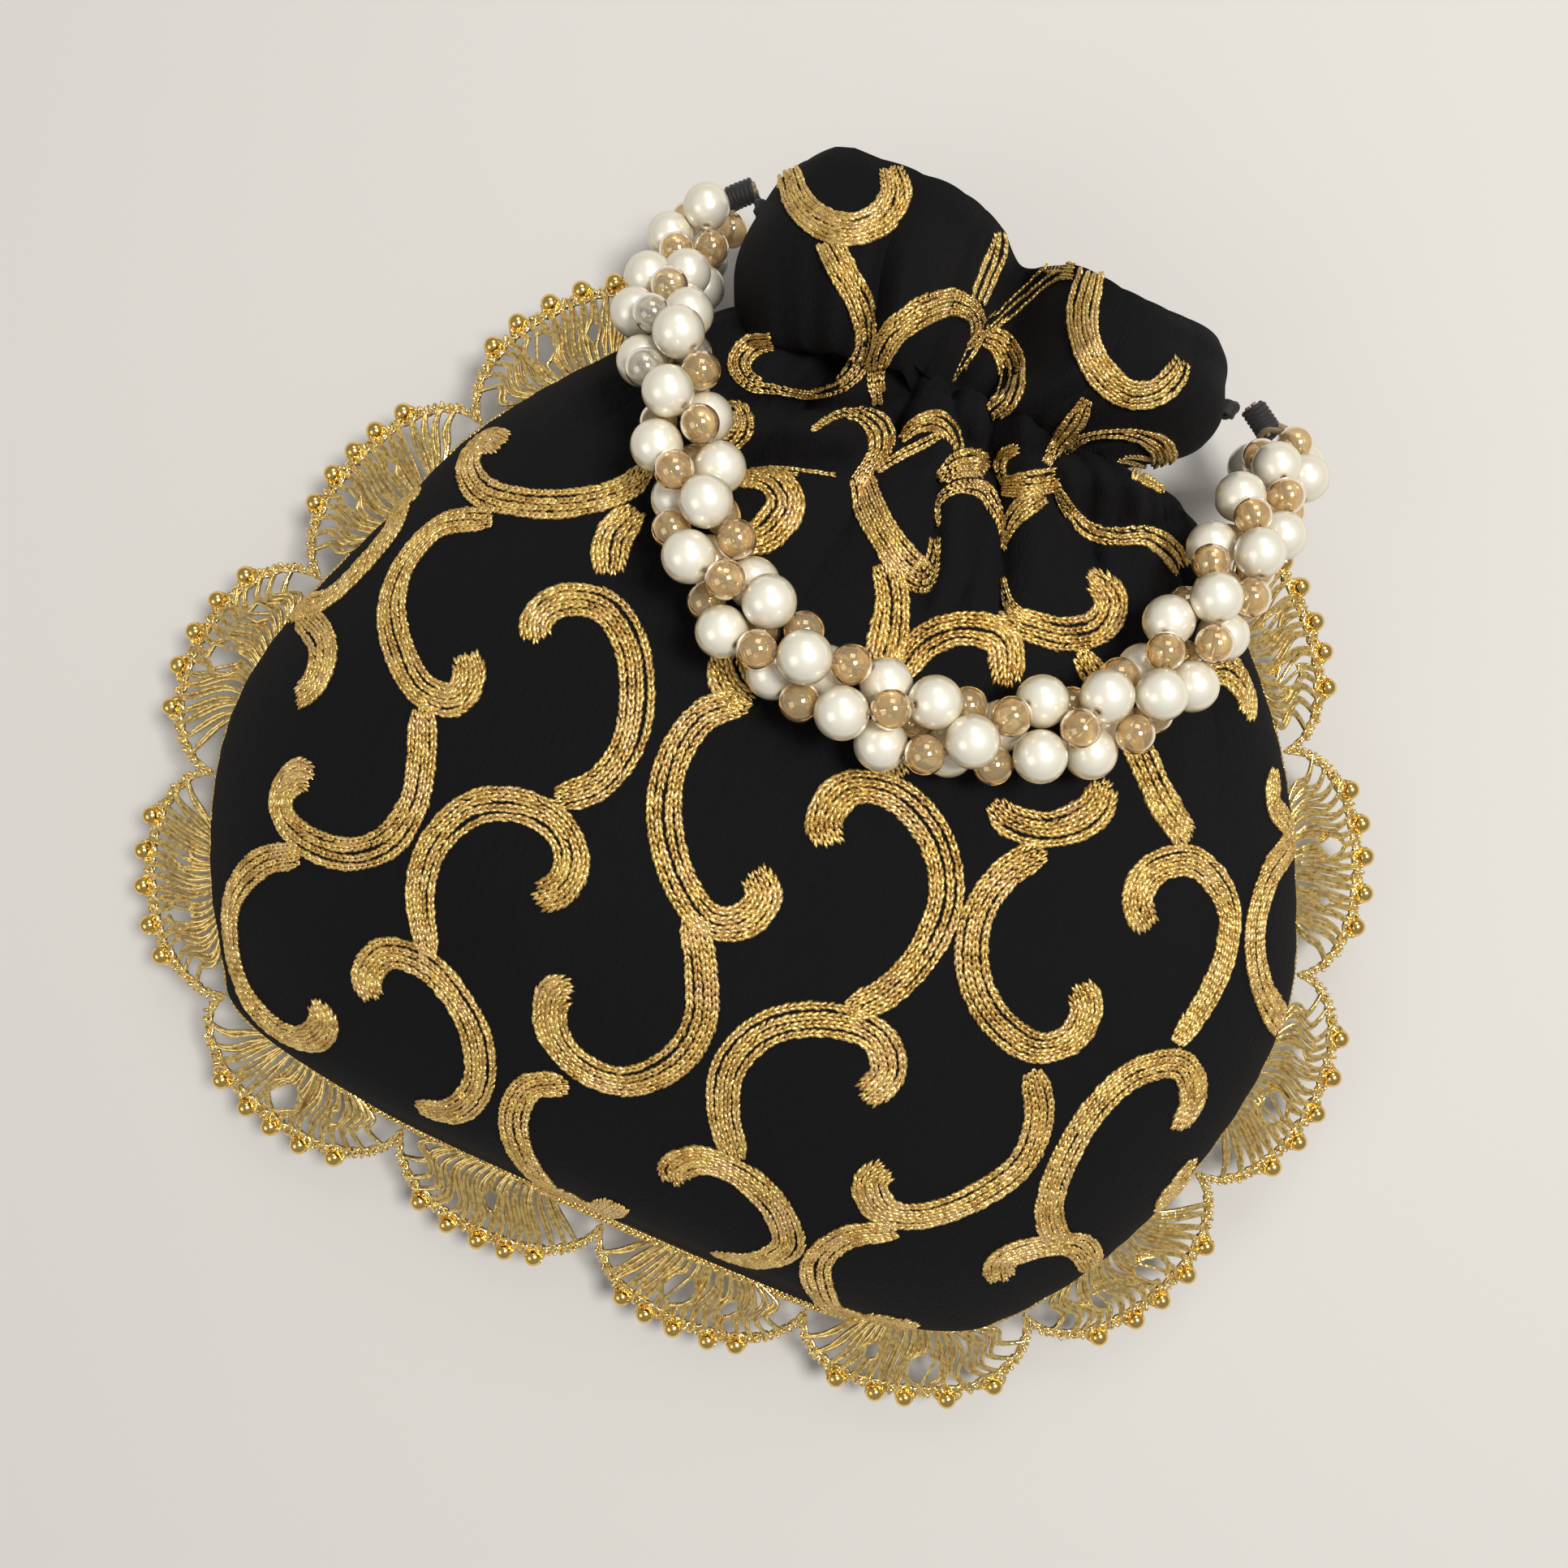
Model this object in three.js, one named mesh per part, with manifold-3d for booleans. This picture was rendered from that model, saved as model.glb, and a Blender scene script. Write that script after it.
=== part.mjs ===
// Stuffed potli bag lying on its back, neck towards +Y and front panel up, in millimetres.
// The table is z = 0.
import * as THREE from 'three';
import { mergeVertices } from 'three/addons/utils/BufferGeometryUtils.js';
import Module from 'manifold-3d';

const wasm = await Module();
wasm.setup();

// Stuffed body
const BODY_WIDTH = 224;
const BODY_LENGTH = 168;
const BODY_THICKNESS = 68;
const BODY_CENTRE_X = 2;
const BOTTOM_SEAM_Y = -97;
const PANEL_ROUNDNESS = 2.2;
const PANEL_FULLNESS = 0.62;
const UNDERSIDE_SPREAD = 1.25;
const UNDERSIDE_FULLNESS = 0.6;

// Drawn neck and its gathers
const GATHER_COUNT = 13;
const GATHER_DEPTH = 3.4;
const GATHER_REACH = 29;
const BACK_GATHER_SHARE = 0.6;
const LYING_FLOOR = 4;

// Open frill above the neck
const FRILL_WIDTH = 100;
const FRILL_CENTRE_X = 0;
const FRILL_LENGTH = 41;
const FRILL_CLOTH = 2.4;
const VALLEY_PLACE = 0.07;
const VALLEY_WIDTH = 0.2;
const VALLEY_DEPTH = 0.8;
const BACK_WAVE = 0.18;
const LEAST_INNER_SHARE = 0.3;

// Gold scroll embroidery
const BAND_WIDTH = 5.6;
const BAND_HEIGHT = 0.8;
const BAND_GAP = 1.0;
const BAND_STEP = 3;
const BAND_SLACK = 0.8;
const BAND_BEND = 0.8;
const BAND_END = 0.7;
const EDGE_PULL = 0.01;
const EDGE_TRIES = 11;

// Scalloped bead lace in the seam
const LACE_FANS = 12;
const LACE_DEPTH = 15.5;
const LACE_DROOP = 6;
const BRAID_WIDTH = 2.2;
const LACE_THREAD = 1.1;
const LACE_BEAD_DIAMETER = 4.2;
const BEADS_PER_FAN = 5;
const BEAD_PITCH = 6.6;
const GAPS_PER_FAN = 6;
const GAP_SHARE = 0.56;
const ROOT_PITCH = 2.6;
const FAN_SIDE = 0.47;
const BRAID_STEPS = 36;
const SCALLOP_ROUNDNESS = 2.4;
const SCALLOP_FULLNESS = 0.6;

// Twisted bead handle
const PEARL_DIAMETER = 9.6;
const GLASS_DIAMETER = 7.2;
const STRAND_THREAD = 1.6;
const STRAND_COUNT = 3;
const STRAND_OFFSET = 5.3;
const STRAND_LEAD = 9;
const STRAND_STEP = 2;
const HANDLE_LAY = 52;
const KNOT_DIAMETER = 5.5;

// Clearance between pieces that are sewn or rest against each other
const SEAT_GAP = 0.3;
const LACE_GAP = 0.9;

// Mesh steps
const SHORTEST_EDGE = 0.05;
const FRONT_POINTS = 29;
const BACK_POINTS = 11;
const RING_POINTS = FRONT_POINTS + BACK_POINTS;
const STRAND_SIDES = 6;
const EDGE_CROWDING = 0.45;
const KNOT_SIDES = 8;
const KNOT_RINGS = 5;
const PEARL_SLICES = [-0.5, 0.5];
const GLASS_SLICES = [0];

const BLACK = { color: 0x17171a, roughness: 0.9, metalness: 0 };
const GOLD_THREAD = { color: 0xb98a35, roughness: 0.45, metalness: 0.6 };
const GOLD_LACE = { color: 0xcfa044, roughness: 0.35, metalness: 0.7 };
const PEARL = { color: 0xf0ebdc, roughness: 0.2, metalness: 0 };

// Body sections from the bottom seam up to the neck. A row is the left and the right seam point
// (hundredths of the half width, hundredths of the body's length) and then the height of the crown,
// the seam and the underside (hundredths of the body's thickness).
const BODY_SECTIONS = [
  [-43, 0, 45, 0, 27.5, 26, 24.5],
  [-64, 2, 58, 2, 41, 26, 17],
  [-78, 5, 70, 5, 58, 27, 9],
  [-84, 10, 78, 10, 71, 27, 4],
  [-92, 19, 87, 19, 85, 28, 0],
  [-98, 30, 94, 30, 95, 29, 0],
  [-100, 40, 98, 40, 99, 30, 0],
  [-98, 50, 100, 50, 100, 30, 0],
  [-93, 60, 99, 60, 99, 30, 0],
  [-88, 70, 95, 70, 96, 31, 0],
  [-83, 80, 87, 80, 91, 32, 0],
  [-75, 89, 79, 89, 86, 35, 3],
  [-61, 95.5, 67, 98, 81, 38, 9],
  [-49, 100, 52, 108, 78, 42, 16],
  [-37, 101, 41, 108, 76, 47, 24],
  [-24, 98, 29, 106, 75, 52, 30],
];

// Frill sections from just above the neck to the hem, with the same columns: hundredths of the
// frill's half width, of its length above the neck, and of the body's thickness.
const FRILL_SECTIONS = [
  [-62, 2, 68, 34, 86, 50, 26],
  [-92, 22, 93, 52, 97, 46, 20],
  [-102, 48, 100, 68, 100, 42, 15],
  [-102, 74, 97, 84, 98, 39, 12],
  [-94, 92, 92, 95, 94, 37, 11],
  [-88, 100, 86, 100, 91, 37, 11],
];

// Scroll vines on the front panel. Each scroll is the middle line of its band, from one end to the
// other, in the hundredths of the body sections. The frill's scrolls use the frill's hundredths.
const BODY_VINES = {
  vine_left_edge: [
    [[-95, 52], [-89, 55], [-84, 61], [-82, 67], [-82, 72]],
    [[-89, 54], [-85, 51], [-82, 47], [-84, 43]],
  ],
  vine_left_outer: [
    [[-69, 81], [-74, 80], [-75, 77], [-70, 74], [-62, 75], [-51, 77], [-45, 81], [-44, 84]],
    [[-64, 73], [-73, 69], [-77, 63], [-75, 58], [-70, 54], [-63, 51], [-57, 52], [-56, 54], [-58, 57]],
    [
      [-63, 52], [-58, 45], [-56, 39], [-57, 35], [-63, 31],
      [-71, 30], [-77, 31], [-79, 34], [-77, 36], [-74, 37],
    ],
    [[-71, 30], [-78, 25], [-83, 20], [-81, 13], [-76, 9], [-68, 6], [-60, 7], [-58, 11], [-61, 13]],
  ],
  vine_left_inner: [
    [[-42, 79], [-44, 75], [-41, 69]],
    [[-47, 61], [-49, 63], [-47, 66], [-41, 67], [-34, 65], [-29, 60], [-27, 54], [-29, 49], [-35, 45]],
    [[-31, 36], [-28, 38], [-28, 41], [-32, 44], [-38, 44], [-46, 42], [-50, 36], [-49, 31], [-43, 24]],
    [[-49, 17], [-52, 19], [-51, 23], [-44, 24], [-37, 22], [-31, 18], [-28, 13], [-31, 8], [-38, 6]],
  ],
  vine_centre_left: [
    [[-20, 68], [-16, 65], [-11, 63]],
    [[-12, 64], [-18, 61], [-19, 56], [-17, 50], [-11, 44], [-4, 41], [1, 43], [2, 46], [-1, 48]],
    [[-7, 42], [-2, 36], [1, 31], [0, 25], [-6, 21], [-14, 21], [-20, 24], [-22, 27], [-18, 28]],
    [[-14, 20], [-20, 16], [-21, 11], [-16, 6], [-9, 4], [-3, 4], [1, 7]],
  ],
  vine_centre: [
    [[10, 66], [15, 61]],
    [[10, 53], [6, 56], [8, 60], [15, 61], [23, 59], [29, 54], [29, 48], [27, 42], [21, 37]],
    [[30, 30], [32, 34], [28, 37], [20, 37], [12, 33], [9, 28], [11, 23], [16, 17]],
    [[10, 12], [8, 14], [10, 16], [18, 16], [26, 14], [31, 10], [28, 6], [21, 4]],
  ],
  vine_centre_right: [
    [[30, 65], [33, 64], [40, 64], [46, 69], [46, 73]],
    [[41, 63], [36, 59], [35, 53], [38, 48], [44, 44], [53, 43], [58, 45], [58, 49], [55, 51]],
    [[54, 43], [59, 36], [60, 30], [55, 24], [48, 20], [42, 19], [38, 22], [40, 24]],
    [[47, 19], [39, 14], [37, 9], [44, 5], [53, 5], [59, 7]],
  ],
  vine_right: [
    [[7, 72], [10, 78], [15, 81], [21, 82], [25, 77]],
    [[30, 92], [36, 89], [33, 86], [20, 83]],
    [[33, 86], [40, 81], [49, 76], [56, 73], [66, 68]],
    [[63, 59], [59, 62], [59, 66], [66, 68], [74, 66], [78, 61], [78, 55], [75, 47]],
    [[85, 39], [84, 44], [79, 47], [72, 44], [67, 38], [67, 31], [70, 25], [75, 20]],
    [[69, 15], [66, 17], [70, 20], [79, 21], [85, 18]],
    [[-10, 90], [-4, 87], [3, 83], [6, 86]],
    [[1, 85], [3, 80], [5, 76], [8, 73]],
  ],
  vine_right_edge: [
    [[75, 83], [77, 79], [83, 76], [81, 71], [82, 64], [88, 58], [95, 55]],
  ],
  scroll_right_shoulder: [
    [[55, 88], [60, 90], [65, 89], [67, 86]],
  ],
  scroll_right_corner: [
    [[91, 37], [92, 33], [91.5, 29]],
  ],
  scroll_left_gather: [
    [[-30, 86], [-24, 88], [-20, 86], [-21, 81], [-25, 80]],
  ],
};
const FRILL_VINES = {
  frill_left_vine: [
    [[-92, 88], [-80, 72], [-62, 66], [-50, 74], [-46, 90]],
    [[-67, 72], [-51, 52], [-42, 34], [-46, 18], [-58, 12], [-74, 14], [-84, 22], [-78, 30]],
  ],
  frill_right_scroll: [
    [[27, 92], [35, 66], [50, 48], [68, 54], [72, 74]],
  ],
};

// The handle's middle line, and its height in hundredths of the body's thickness. Its ends are in
// the frill's hundredths, and its run over the panel is in the hundredths of the body sections.
const HANDLE_LEFT_END = [
  [-109.5, 93.5, 34.5],
  [-120, 80, 33],
  [-123, 59, 34],
  [-122.5, 38, 40],
];
const HANDLE_OVER_PANEL = [
  [-56, 104.5, 54],
  [-52.5, 100, 73],
  [-46, 94, 91],
  [-39.5, 88, 97],
  [-33.5, 82, 102.5],
  [-26, 76, 107],
  [-17.5, 72, 110.5],
  [-7, 69.5, 113],
  [5, 68.5, 113.5],
  [16, 69, 112.5],
  [26, 71.5, 110],
  [36, 75.5, 106.5],
  [43, 80, 102],
  [46.5, 85.5, 97.5],
  [49, 91.5, 93.5],
  [50.5, 98, 88],
  [52, 104, 79],
];
const HANDLE_RIGHT_END = [
  [124, 41, 66],
  [128, 63, 51.5],
  [124, 81, 40],
  [111, 93, 38],
];
const KNOTS = {
  handle_knot_left: [-103, 84, 36.8],
  handle_knot_right: [103, 86.6, 38.2],
};

function bodyPoint(across, along) {
  const x = BODY_CENTRE_X + (across / 100) * (BODY_WIDTH / 2);
  const y = BOTTOM_SEAM_Y + (along / 100) * BODY_LENGTH;
  return [x, y];
}

function frillPoint(across, along) {
  const x = FRILL_CENTRE_X + (across / 100) * (FRILL_WIDTH / 2);
  const y = BOTTOM_SEAM_Y + BODY_LENGTH + (along / 100) * FRILL_LENGTH;
  return [x, y];
}

// A place of a list that also gives heights, in millimetres
function heightened(place) {
  return ([across, along, height]) => {
    return new THREE.Vector3(...place(across, along), (height / 100) * BODY_THICKNESS);
  };
}

function section(row, place, frill) {
  const [leftX, leftY, rightX, rightY, crown, seam, floor] = row;
  return {
    left: place(leftX, leftY),
    right: place(rightX, rightY),
    crown: (crown / 100) * BODY_THICKNESS,
    seam: (seam / 100) * BODY_THICKNESS,
    floor: (floor / 100) * BODY_THICKNESS,
    frill,
  };
}

// Share of the way across a section, from 1 at the right seam to -1 at the left one
function acrossAt(index) {
  const front = index <= FRONT_POINTS;
  const half = front ? index / FRONT_POINTS : (RING_POINTS - index) / BACK_POINTS;
  return EDGE_CROWDING * Math.cos(half * Math.PI) + (1 - EDGE_CROWDING) * (1 - 2 * half);
}

function dome(u, fullness = PANEL_FULLNESS) {
  return Math.pow(Math.max(0, 1 - Math.pow(Math.abs(u), PANEL_ROUNDNESS)), fullness);
}

// The underside spreads flat on the table in its middle
function underside(u) {
  return Math.min(1, UNDERSIDE_SPREAD * dome(u, UNDERSIDE_FULLNESS));
}

// Two broad lobes with a valley between them
function lobes(u) {
  const dip = Math.exp(-Math.pow((u - VALLEY_PLACE) / VALLEY_WIDTH, 2));
  const plump = Math.sqrt(Math.max(0, 1 - Math.pow(u, 4)));
  return plump * (1 - VALLEY_DEPTH * dip);
}

function backLobes(u) {
  return underside(u) * (1 - BACK_WAVE + BACK_WAVE * Math.cos(3 * Math.PI * u));
}

function gathers(u, y) {
  const neckY = BOTTOM_SEAM_Y + BODY_LENGTH;
  const fade = Math.exp(-Math.pow((neckY - y) / GATHER_REACH, 2));
  const edge = 1 - Math.pow(Math.abs(u), 4);
  return GATHER_DEPTH * fade * edge * Math.cos(Math.PI * GATHER_COUNT * 0.5 * u);
}

function ringOf(part, shrink = 0) {
  const ring = [];
  const [lx, ly] = part.left;
  const [rx, ry] = part.right;
  const halfWidth = Math.hypot(rx - lx, ry - ly) / 2;
  const inX = 1 - shrink / halfWidth;
  for (let i = 0; i < RING_POINTS; i++) {
    const u = acrossAt(i);
    const front = i <= FRONT_POINTS;
    const x = (lx + rx) / 2 + ((rx - lx) / 2) * u * inX;
    const y = (ly + ry) / 2 + ((ry - ly) / 2) * u * inX;
    const rise = part.crown - part.seam;
    const drop = part.seam - part.floor;
    const inTop = rise > 0 ? Math.max(LEAST_INNER_SHARE, 1 - shrink / rise) : 1;
    const inFloor = drop > 0 ? Math.max(LEAST_INNER_SHARE, 1 - shrink / drop) : 1;
    const topShape = part.frill ? lobes(u) : dome(u);
    const floorShape = part.frill ? backLobes(u) : underside(u);
    const fold = shrink > 0 || rise < 1 ? 0 : gathers(u, y);
    const backFold = part.floor > LYING_FLOOR ? BACK_GATHER_SHARE * fold : 0;
    let z = part.seam;
    if (front && i > 0 && i < FRONT_POINTS) {
      z = part.seam + rise * topShape * inTop + fold;
    } else if (!front) {
      z = part.seam - drop * floorShape * inFloor + backFold;
    }
    ring.push(new THREE.Vector3(x, y, Math.max(0, z)));
  }
  return ring;
}

// Closed skin through rings of equal length, with a fan over the first and over the last
function loft(rings) {
  const positions = rings.flat().flatMap((p) => [p.x, p.y, p.z]);
  const index = sides(rings);
  const count = rings[0].length;
  const start = (rings.length - 1) * count;
  for (const ring of [rings[0], rings[rings.length - 1]]) {
    const middle = ring.reduce((sum, p) => sum.add(p), new THREE.Vector3());
    positions.push(...middle.divideScalar(count).toArray());
  }
  const centre = positions.length / 3 - 1;
  for (let i = 0; i < count; i++) {
    const next = (i + 1) % count;
    index.push(i, next, centre - 1);
    index.push(start + i, centre, start + next);
  }
  return closedGeometry(positions, index);
}

// Two triangles for each quad between neighbouring rings
function sides(rings) {
  const index = [];
  const count = rings[0].length;
  for (let r = 0; r + 1 < rings.length; r++) {
    for (let i = 0; i < count; i++) {
      const a = r * count + i;
      const b = r * count + ((i + 1) % count);
      index.push(a, a + count, b, b, a + count, b + count);
    }
  }
  return index;
}

function closedGeometry(positions, index, reach = 1e-4) {
  const geometry = new THREE.BufferGeometry();
  geometry.setAttribute('position', new THREE.Float32BufferAttribute(positions, 3));
  geometry.setIndex(index);
  return mergeVertices(geometry, reach);
}

function makePouch() {
  const body = BODY_SECTIONS.map((row) => section(row, bodyPoint, false));
  const frill = FRILL_SECTIONS.map((row) => section(row, frillPoint, true));
  const outer = [...body, ...frill].map((part) => ringOf(part));
  const inner = frill.map((part) => ringOf(part, FRILL_CLOTH)).reverse();
  const rings = [...outer, ...inner.slice(0, -1)];
  return { geometry: loft(rings), body, frill };
}

function solidOf(geometry) {
  const plain = geometry.clone();
  for (const name of Object.keys(plain.attributes)) {
    if (name !== 'position') plain.deleteAttribute(name);
  }
  const merged = mergeVertices(plain, 1e-4);
  return new wasm.Manifold(
    new wasm.Mesh({
      numProp: 3,
      vertProperties: new Float32Array(merged.attributes.position.array),
      triVerts: new Uint32Array(merged.index.array),
    }),
  );
}

function meshOf(name, geometry, look) {
  geometry.computeVertexNormals();
  const mesh = new THREE.Mesh(geometry, new THREE.MeshStandardMaterial(look));
  mesh.name = name;
  return mesh;
}

// Closed skin through rings of equal length, with flat ends
function sweep(rings) {
  const count = rings[0].length;
  const positions = rings.flat().flatMap((p) => [p.x, p.y, p.z]);
  const index = sides(rings);
  const end = (rings.length - 1) * count;
  for (let i = 1; i + 1 < count; i++) {
    index.push(0, i, i + 1);
    index.push(end, end + i + 1, end + i);
  }
  return closedGeometry(positions, index);
}

function joined(solids) {
  return solids.reduce((whole, piece) => whole.add(piece));
}

// Mesh of a cut solid, with the cut's shortest edges closed up
function geometryOf(solid) {
  const mesh = solid.getMesh();
  const positions = [];
  for (let i = 0; i < mesh.numVert; i++) {
    const at = i * mesh.numProp;
    positions.push(...mesh.vertProperties.slice(at, at + 3));
  }
  const geometry = closedGeometry(positions, Array.from(mesh.triVerts), SHORTEST_EDGE);
  const corners = geometry.index.array;
  const kept = [];
  for (let f = 0; f < corners.length; f += 3) {
    const [a, b, c] = corners.slice(f, f + 3);
    if (a !== b && b !== c && c !== a) kept.push(a, b, c);
  }
  geometry.setIndex(kept);
  return geometry;
}

// Highest point of the cloth over a place in plan, with the way it faces
function clothAbove(mesh) {
  const place = mesh.geometry.attributes.position;
  const facing = mesh.geometry.attributes.normal;
  const index = mesh.geometry.index.array;
  const corner = [0, 1, 2].map(() => new THREE.Vector3());
  const weights = new THREE.Vector3();
  return (x, y) => {
    let best = null;
    for (let f = 0; f < index.length; f += 3) {
      corner.forEach((c, i) => c.fromBufferAttribute(place, index[f + i]));
      const [a, b, c] = corner;
      const area = (b.x - a.x) * (c.y - a.y) - (c.x - a.x) * (b.y - a.y);
      if (area < 1e-6) continue;
      const wb = ((x - a.x) * (c.y - a.y) - (c.x - a.x) * (y - a.y)) / area;
      const wc = ((b.x - a.x) * (y - a.y) - (x - a.x) * (b.y - a.y)) / area;
      if (wb < 0 || wc < 0 || wb + wc > 1) continue;
      weights.set(1 - wb - wc, wb, wc);
      const z = a.z * weights.x + b.z * weights.y + c.z * weights.z;
      if (best && best.point.z >= z) continue;
      const normal = new THREE.Vector3();
      [weights.x, weights.y, weights.z].forEach((w, i) => {
        normal.addScaledVector(new THREE.Vector3().fromBufferAttribute(facing, index[f + i]), w);
      });
      best = { point: new THREE.Vector3(x, y, z), normal: normal.normalize() };
    }
    return best;
  };
}

// A place over the cloth; one just outside its outline is drawn in towards the middle
function onCloth(above, x, y) {
  let found = above(x, y);
  for (let step = 1; !found && step <= EDGE_TRIES; step++) {
    const pull = 1 - step * EDGE_PULL;
    found = above(BODY_CENTRE_X + (x - BODY_CENTRE_X) * pull, y * pull);
  }
  return found;
}

// Stitched band along a line on the cloth: flat underneath, with a low crest along its middle
function band(above, line, place) {
  const plan = line.map(([across, along]) => new THREE.Vector3(...place(across, along), 0));
  const curve = new THREE.CatmullRomCurve3(plan, false, 'centripetal');
  const steps = Math.max(2, Math.round(curve.getLength() / BAND_STEP));
  const spots = curve.getSpacedPoints(steps).map((spot) => onCloth(above, spot.x, spot.y));
  const rings = spots.map(({ point, normal }, i) => {
    const before = spots[Math.max(0, i - 1)].point;
    const after = spots[Math.min(steps, i + 1)].point;
    const inside = i > 0 && i < steps;
    const turn = inside ? point.clone().sub(before).angleTo(after.clone().sub(point)) : 0;
    const radius = before.distanceTo(after) / 2 / Math.max(turn, 1e-3);
    const half = Math.min(BAND_WIDTH / 2, BAND_BEND * radius) * (inside ? 1 : BAND_END);
    const side = normal.clone().cross(after.clone().sub(before)).normalize();
    const corner = (across, lift) => {
      return point.clone().addScaledVector(side, across).addScaledVector(normal, lift);
    };
    return [corner(half, BAND_GAP), corner(-half, BAND_GAP), corner(0, BAND_GAP + BAND_HEIGHT)];
  });
  return sweep(needed(rings));
}

// The rings without which a straight run between its neighbours would leave the cloth
function needed(rings) {
  const kept = [rings[0]];
  const chord = new THREE.Line3();
  const nearest = new THREE.Vector3();
  let from = 0;
  for (let to = 2; to < rings.length; to++) {
    const strays = (ring) => ring.some((corner, c) => {
      chord.set(rings[from][c], rings[to][c]);
      return chord.closestPointToPoint(corner, true, nearest).distanceTo(corner) > BAND_SLACK;
    });
    if (rings.slice(from + 1, to).some(strays)) {
      from = to - 1;
      kept.push(rings[from]);
    }
  }
  kept.push(rings[rings.length - 1]);
  return kept;
}

// The cloth grown outwards, which the bands must stay clear of
function grown(geometry, by) {
  const place = geometry.attributes.position;
  const facing = geometry.attributes.normal;
  const positions = [];
  for (let i = 0; i < place.count; i++) {
    positions.push(place.getX(i) + facing.getX(i) * by);
    positions.push(place.getY(i) + facing.getY(i) * by);
    positions.push(place.getZ(i) + facing.getZ(i) * by);
  }
  return solidOf(closedGeometry(positions, Array.from(geometry.index.array)));
}

function addVines(group, above, clear, vines, place) {
  for (const [name, lines] of Object.entries(vines)) {
    const solids = lines.map((line) => solidOf(band(above, line, place)));
    const vine = joined(solids).subtract(clear);
    group.add(meshOf(name, geometryOf(largest(vine)), GOLD_THREAD));
  }
}

// The main piece of a cut band; slivers that the cut leaves are dropped
function largest(solid) {
  return solid.decompose().reduce((best, piece) => (piece.volume() > best.volume() ? piece : best));
}

// The seam from the left shoulder round the bottom to the right shoulder
function seamCurve(body) {
  const sewn = body.slice(0, -2);
  const left = sewn.map((part) => new THREE.Vector3(...part.left, part.seam)).reverse();
  const right = sewn.map((part) => new THREE.Vector3(...part.right, part.seam));
  return new THREE.CatmullRomCurve3([...left, ...right], false, 'centripetal');
}

// A place in the lace: how far along the seam, and how far out from it
function lacePlacer(curve) {
  const length = curve.getLength();
  return (along, out) => {
    const share = THREE.MathUtils.clamp(along / length, 0, 1);
    const point = curve.getPointAt(share);
    const way = curve.getTangentAt(share);
    const outward = new THREE.Vector3(way.y, -way.x, 0).normalize();
    const spot = point.clone().addScaledVector(outward, out + LACE_GAP);
    spot.z -= (LACE_DROOP * out) / LACE_DEPTH;
    return spot;
  };
}

// Open lace round the seam: a braid, and fans of threads that end in a scalloped rim of beads. The
// outline and its openings are laid round the bag, and each of their corners has its own thickness.
function makeLace(body) {
  const curve = seamCurve(body);
  const length = curve.getLength();
  const at = lacePlacer(curve);
  const pitch = length / LACE_FANS;
  const rimAt = (offset) => {
    const share = Math.min(1, Math.abs(offset) / (pitch / 2));
    const scallop = Math.pow(1 - Math.pow(share, SCALLOP_ROUNDNESS), SCALLOP_FULLNESS);
    return BRAID_WIDTH + (LACE_DEPTH - BRAID_WIDTH) * scallop;
  };
  const corner = (along, out, thick) => ({ place: at(along, out), thick });
  const outline = [];
  for (let i = 0; i <= BRAID_STEPS; i++) {
    outline.push(corner((i / BRAID_STEPS) * length, 0, BRAID_WIDTH));
  }
  const openings = [];
  const radius = LACE_BEAD_DIAMETER / 2;
  for (let fan = LACE_FANS - 1; fan >= 0; fan--) {
    const middle = (fan + 0.5) * pitch;
    outline.push(corner(middle + pitch / 2, BRAID_WIDTH, LACE_THREAD));
    outline.push(corner(middle + FAN_SIDE * pitch, rimAt(FAN_SIDE * pitch), LACE_THREAD));
    for (let bead = 0; bead < BEADS_PER_FAN; bead++) {
      const offset = ((BEADS_PER_FAN - 1) / 2 - bead) * BEAD_PITCH;
      const rim = rimAt(offset);
      outline.push(corner(middle + offset + radius, rimAt(offset + radius) - radius, LACE_THREAD));
      outline.push(corner(middle + offset + radius / 2, rim, LACE_BEAD_DIAMETER));
      outline.push(corner(middle + offset - radius / 2, rim, LACE_BEAD_DIAMETER));
      outline.push(corner(middle + offset - radius, rimAt(offset - radius) - radius, LACE_THREAD));
    }
    outline.push(corner(middle - FAN_SIDE * pitch, rimAt(FAN_SIDE * pitch), LACE_THREAD));
    for (let gap = 0; gap < GAPS_PER_FAN; gap++) {
      const place = gap - (GAPS_PER_FAN - 1) / 2;
      const far = (n) => (place + n * GAP_SHARE) * BEAD_PITCH;
      const near = (n) => middle + (place + n * GAP_SHARE) * ROOT_PITCH;
      openings.push([
        corner(near(-0.5), BRAID_WIDTH + LACE_THREAD, LACE_THREAD),
        corner(middle + far(-0.5), rimAt(far(-0.5)) - LACE_BEAD_DIAMETER, LACE_THREAD),
        corner(middle + far(0.5), rimAt(far(0.5)) - LACE_BEAD_DIAMETER, LACE_THREAD),
        corner(near(0.5), BRAID_WIDTH + LACE_THREAD, LACE_THREAD),
      ]);
    }
  }
  outline.push(corner(0, BRAID_WIDTH, LACE_THREAD));
  return plate(outline, openings);
}

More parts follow.
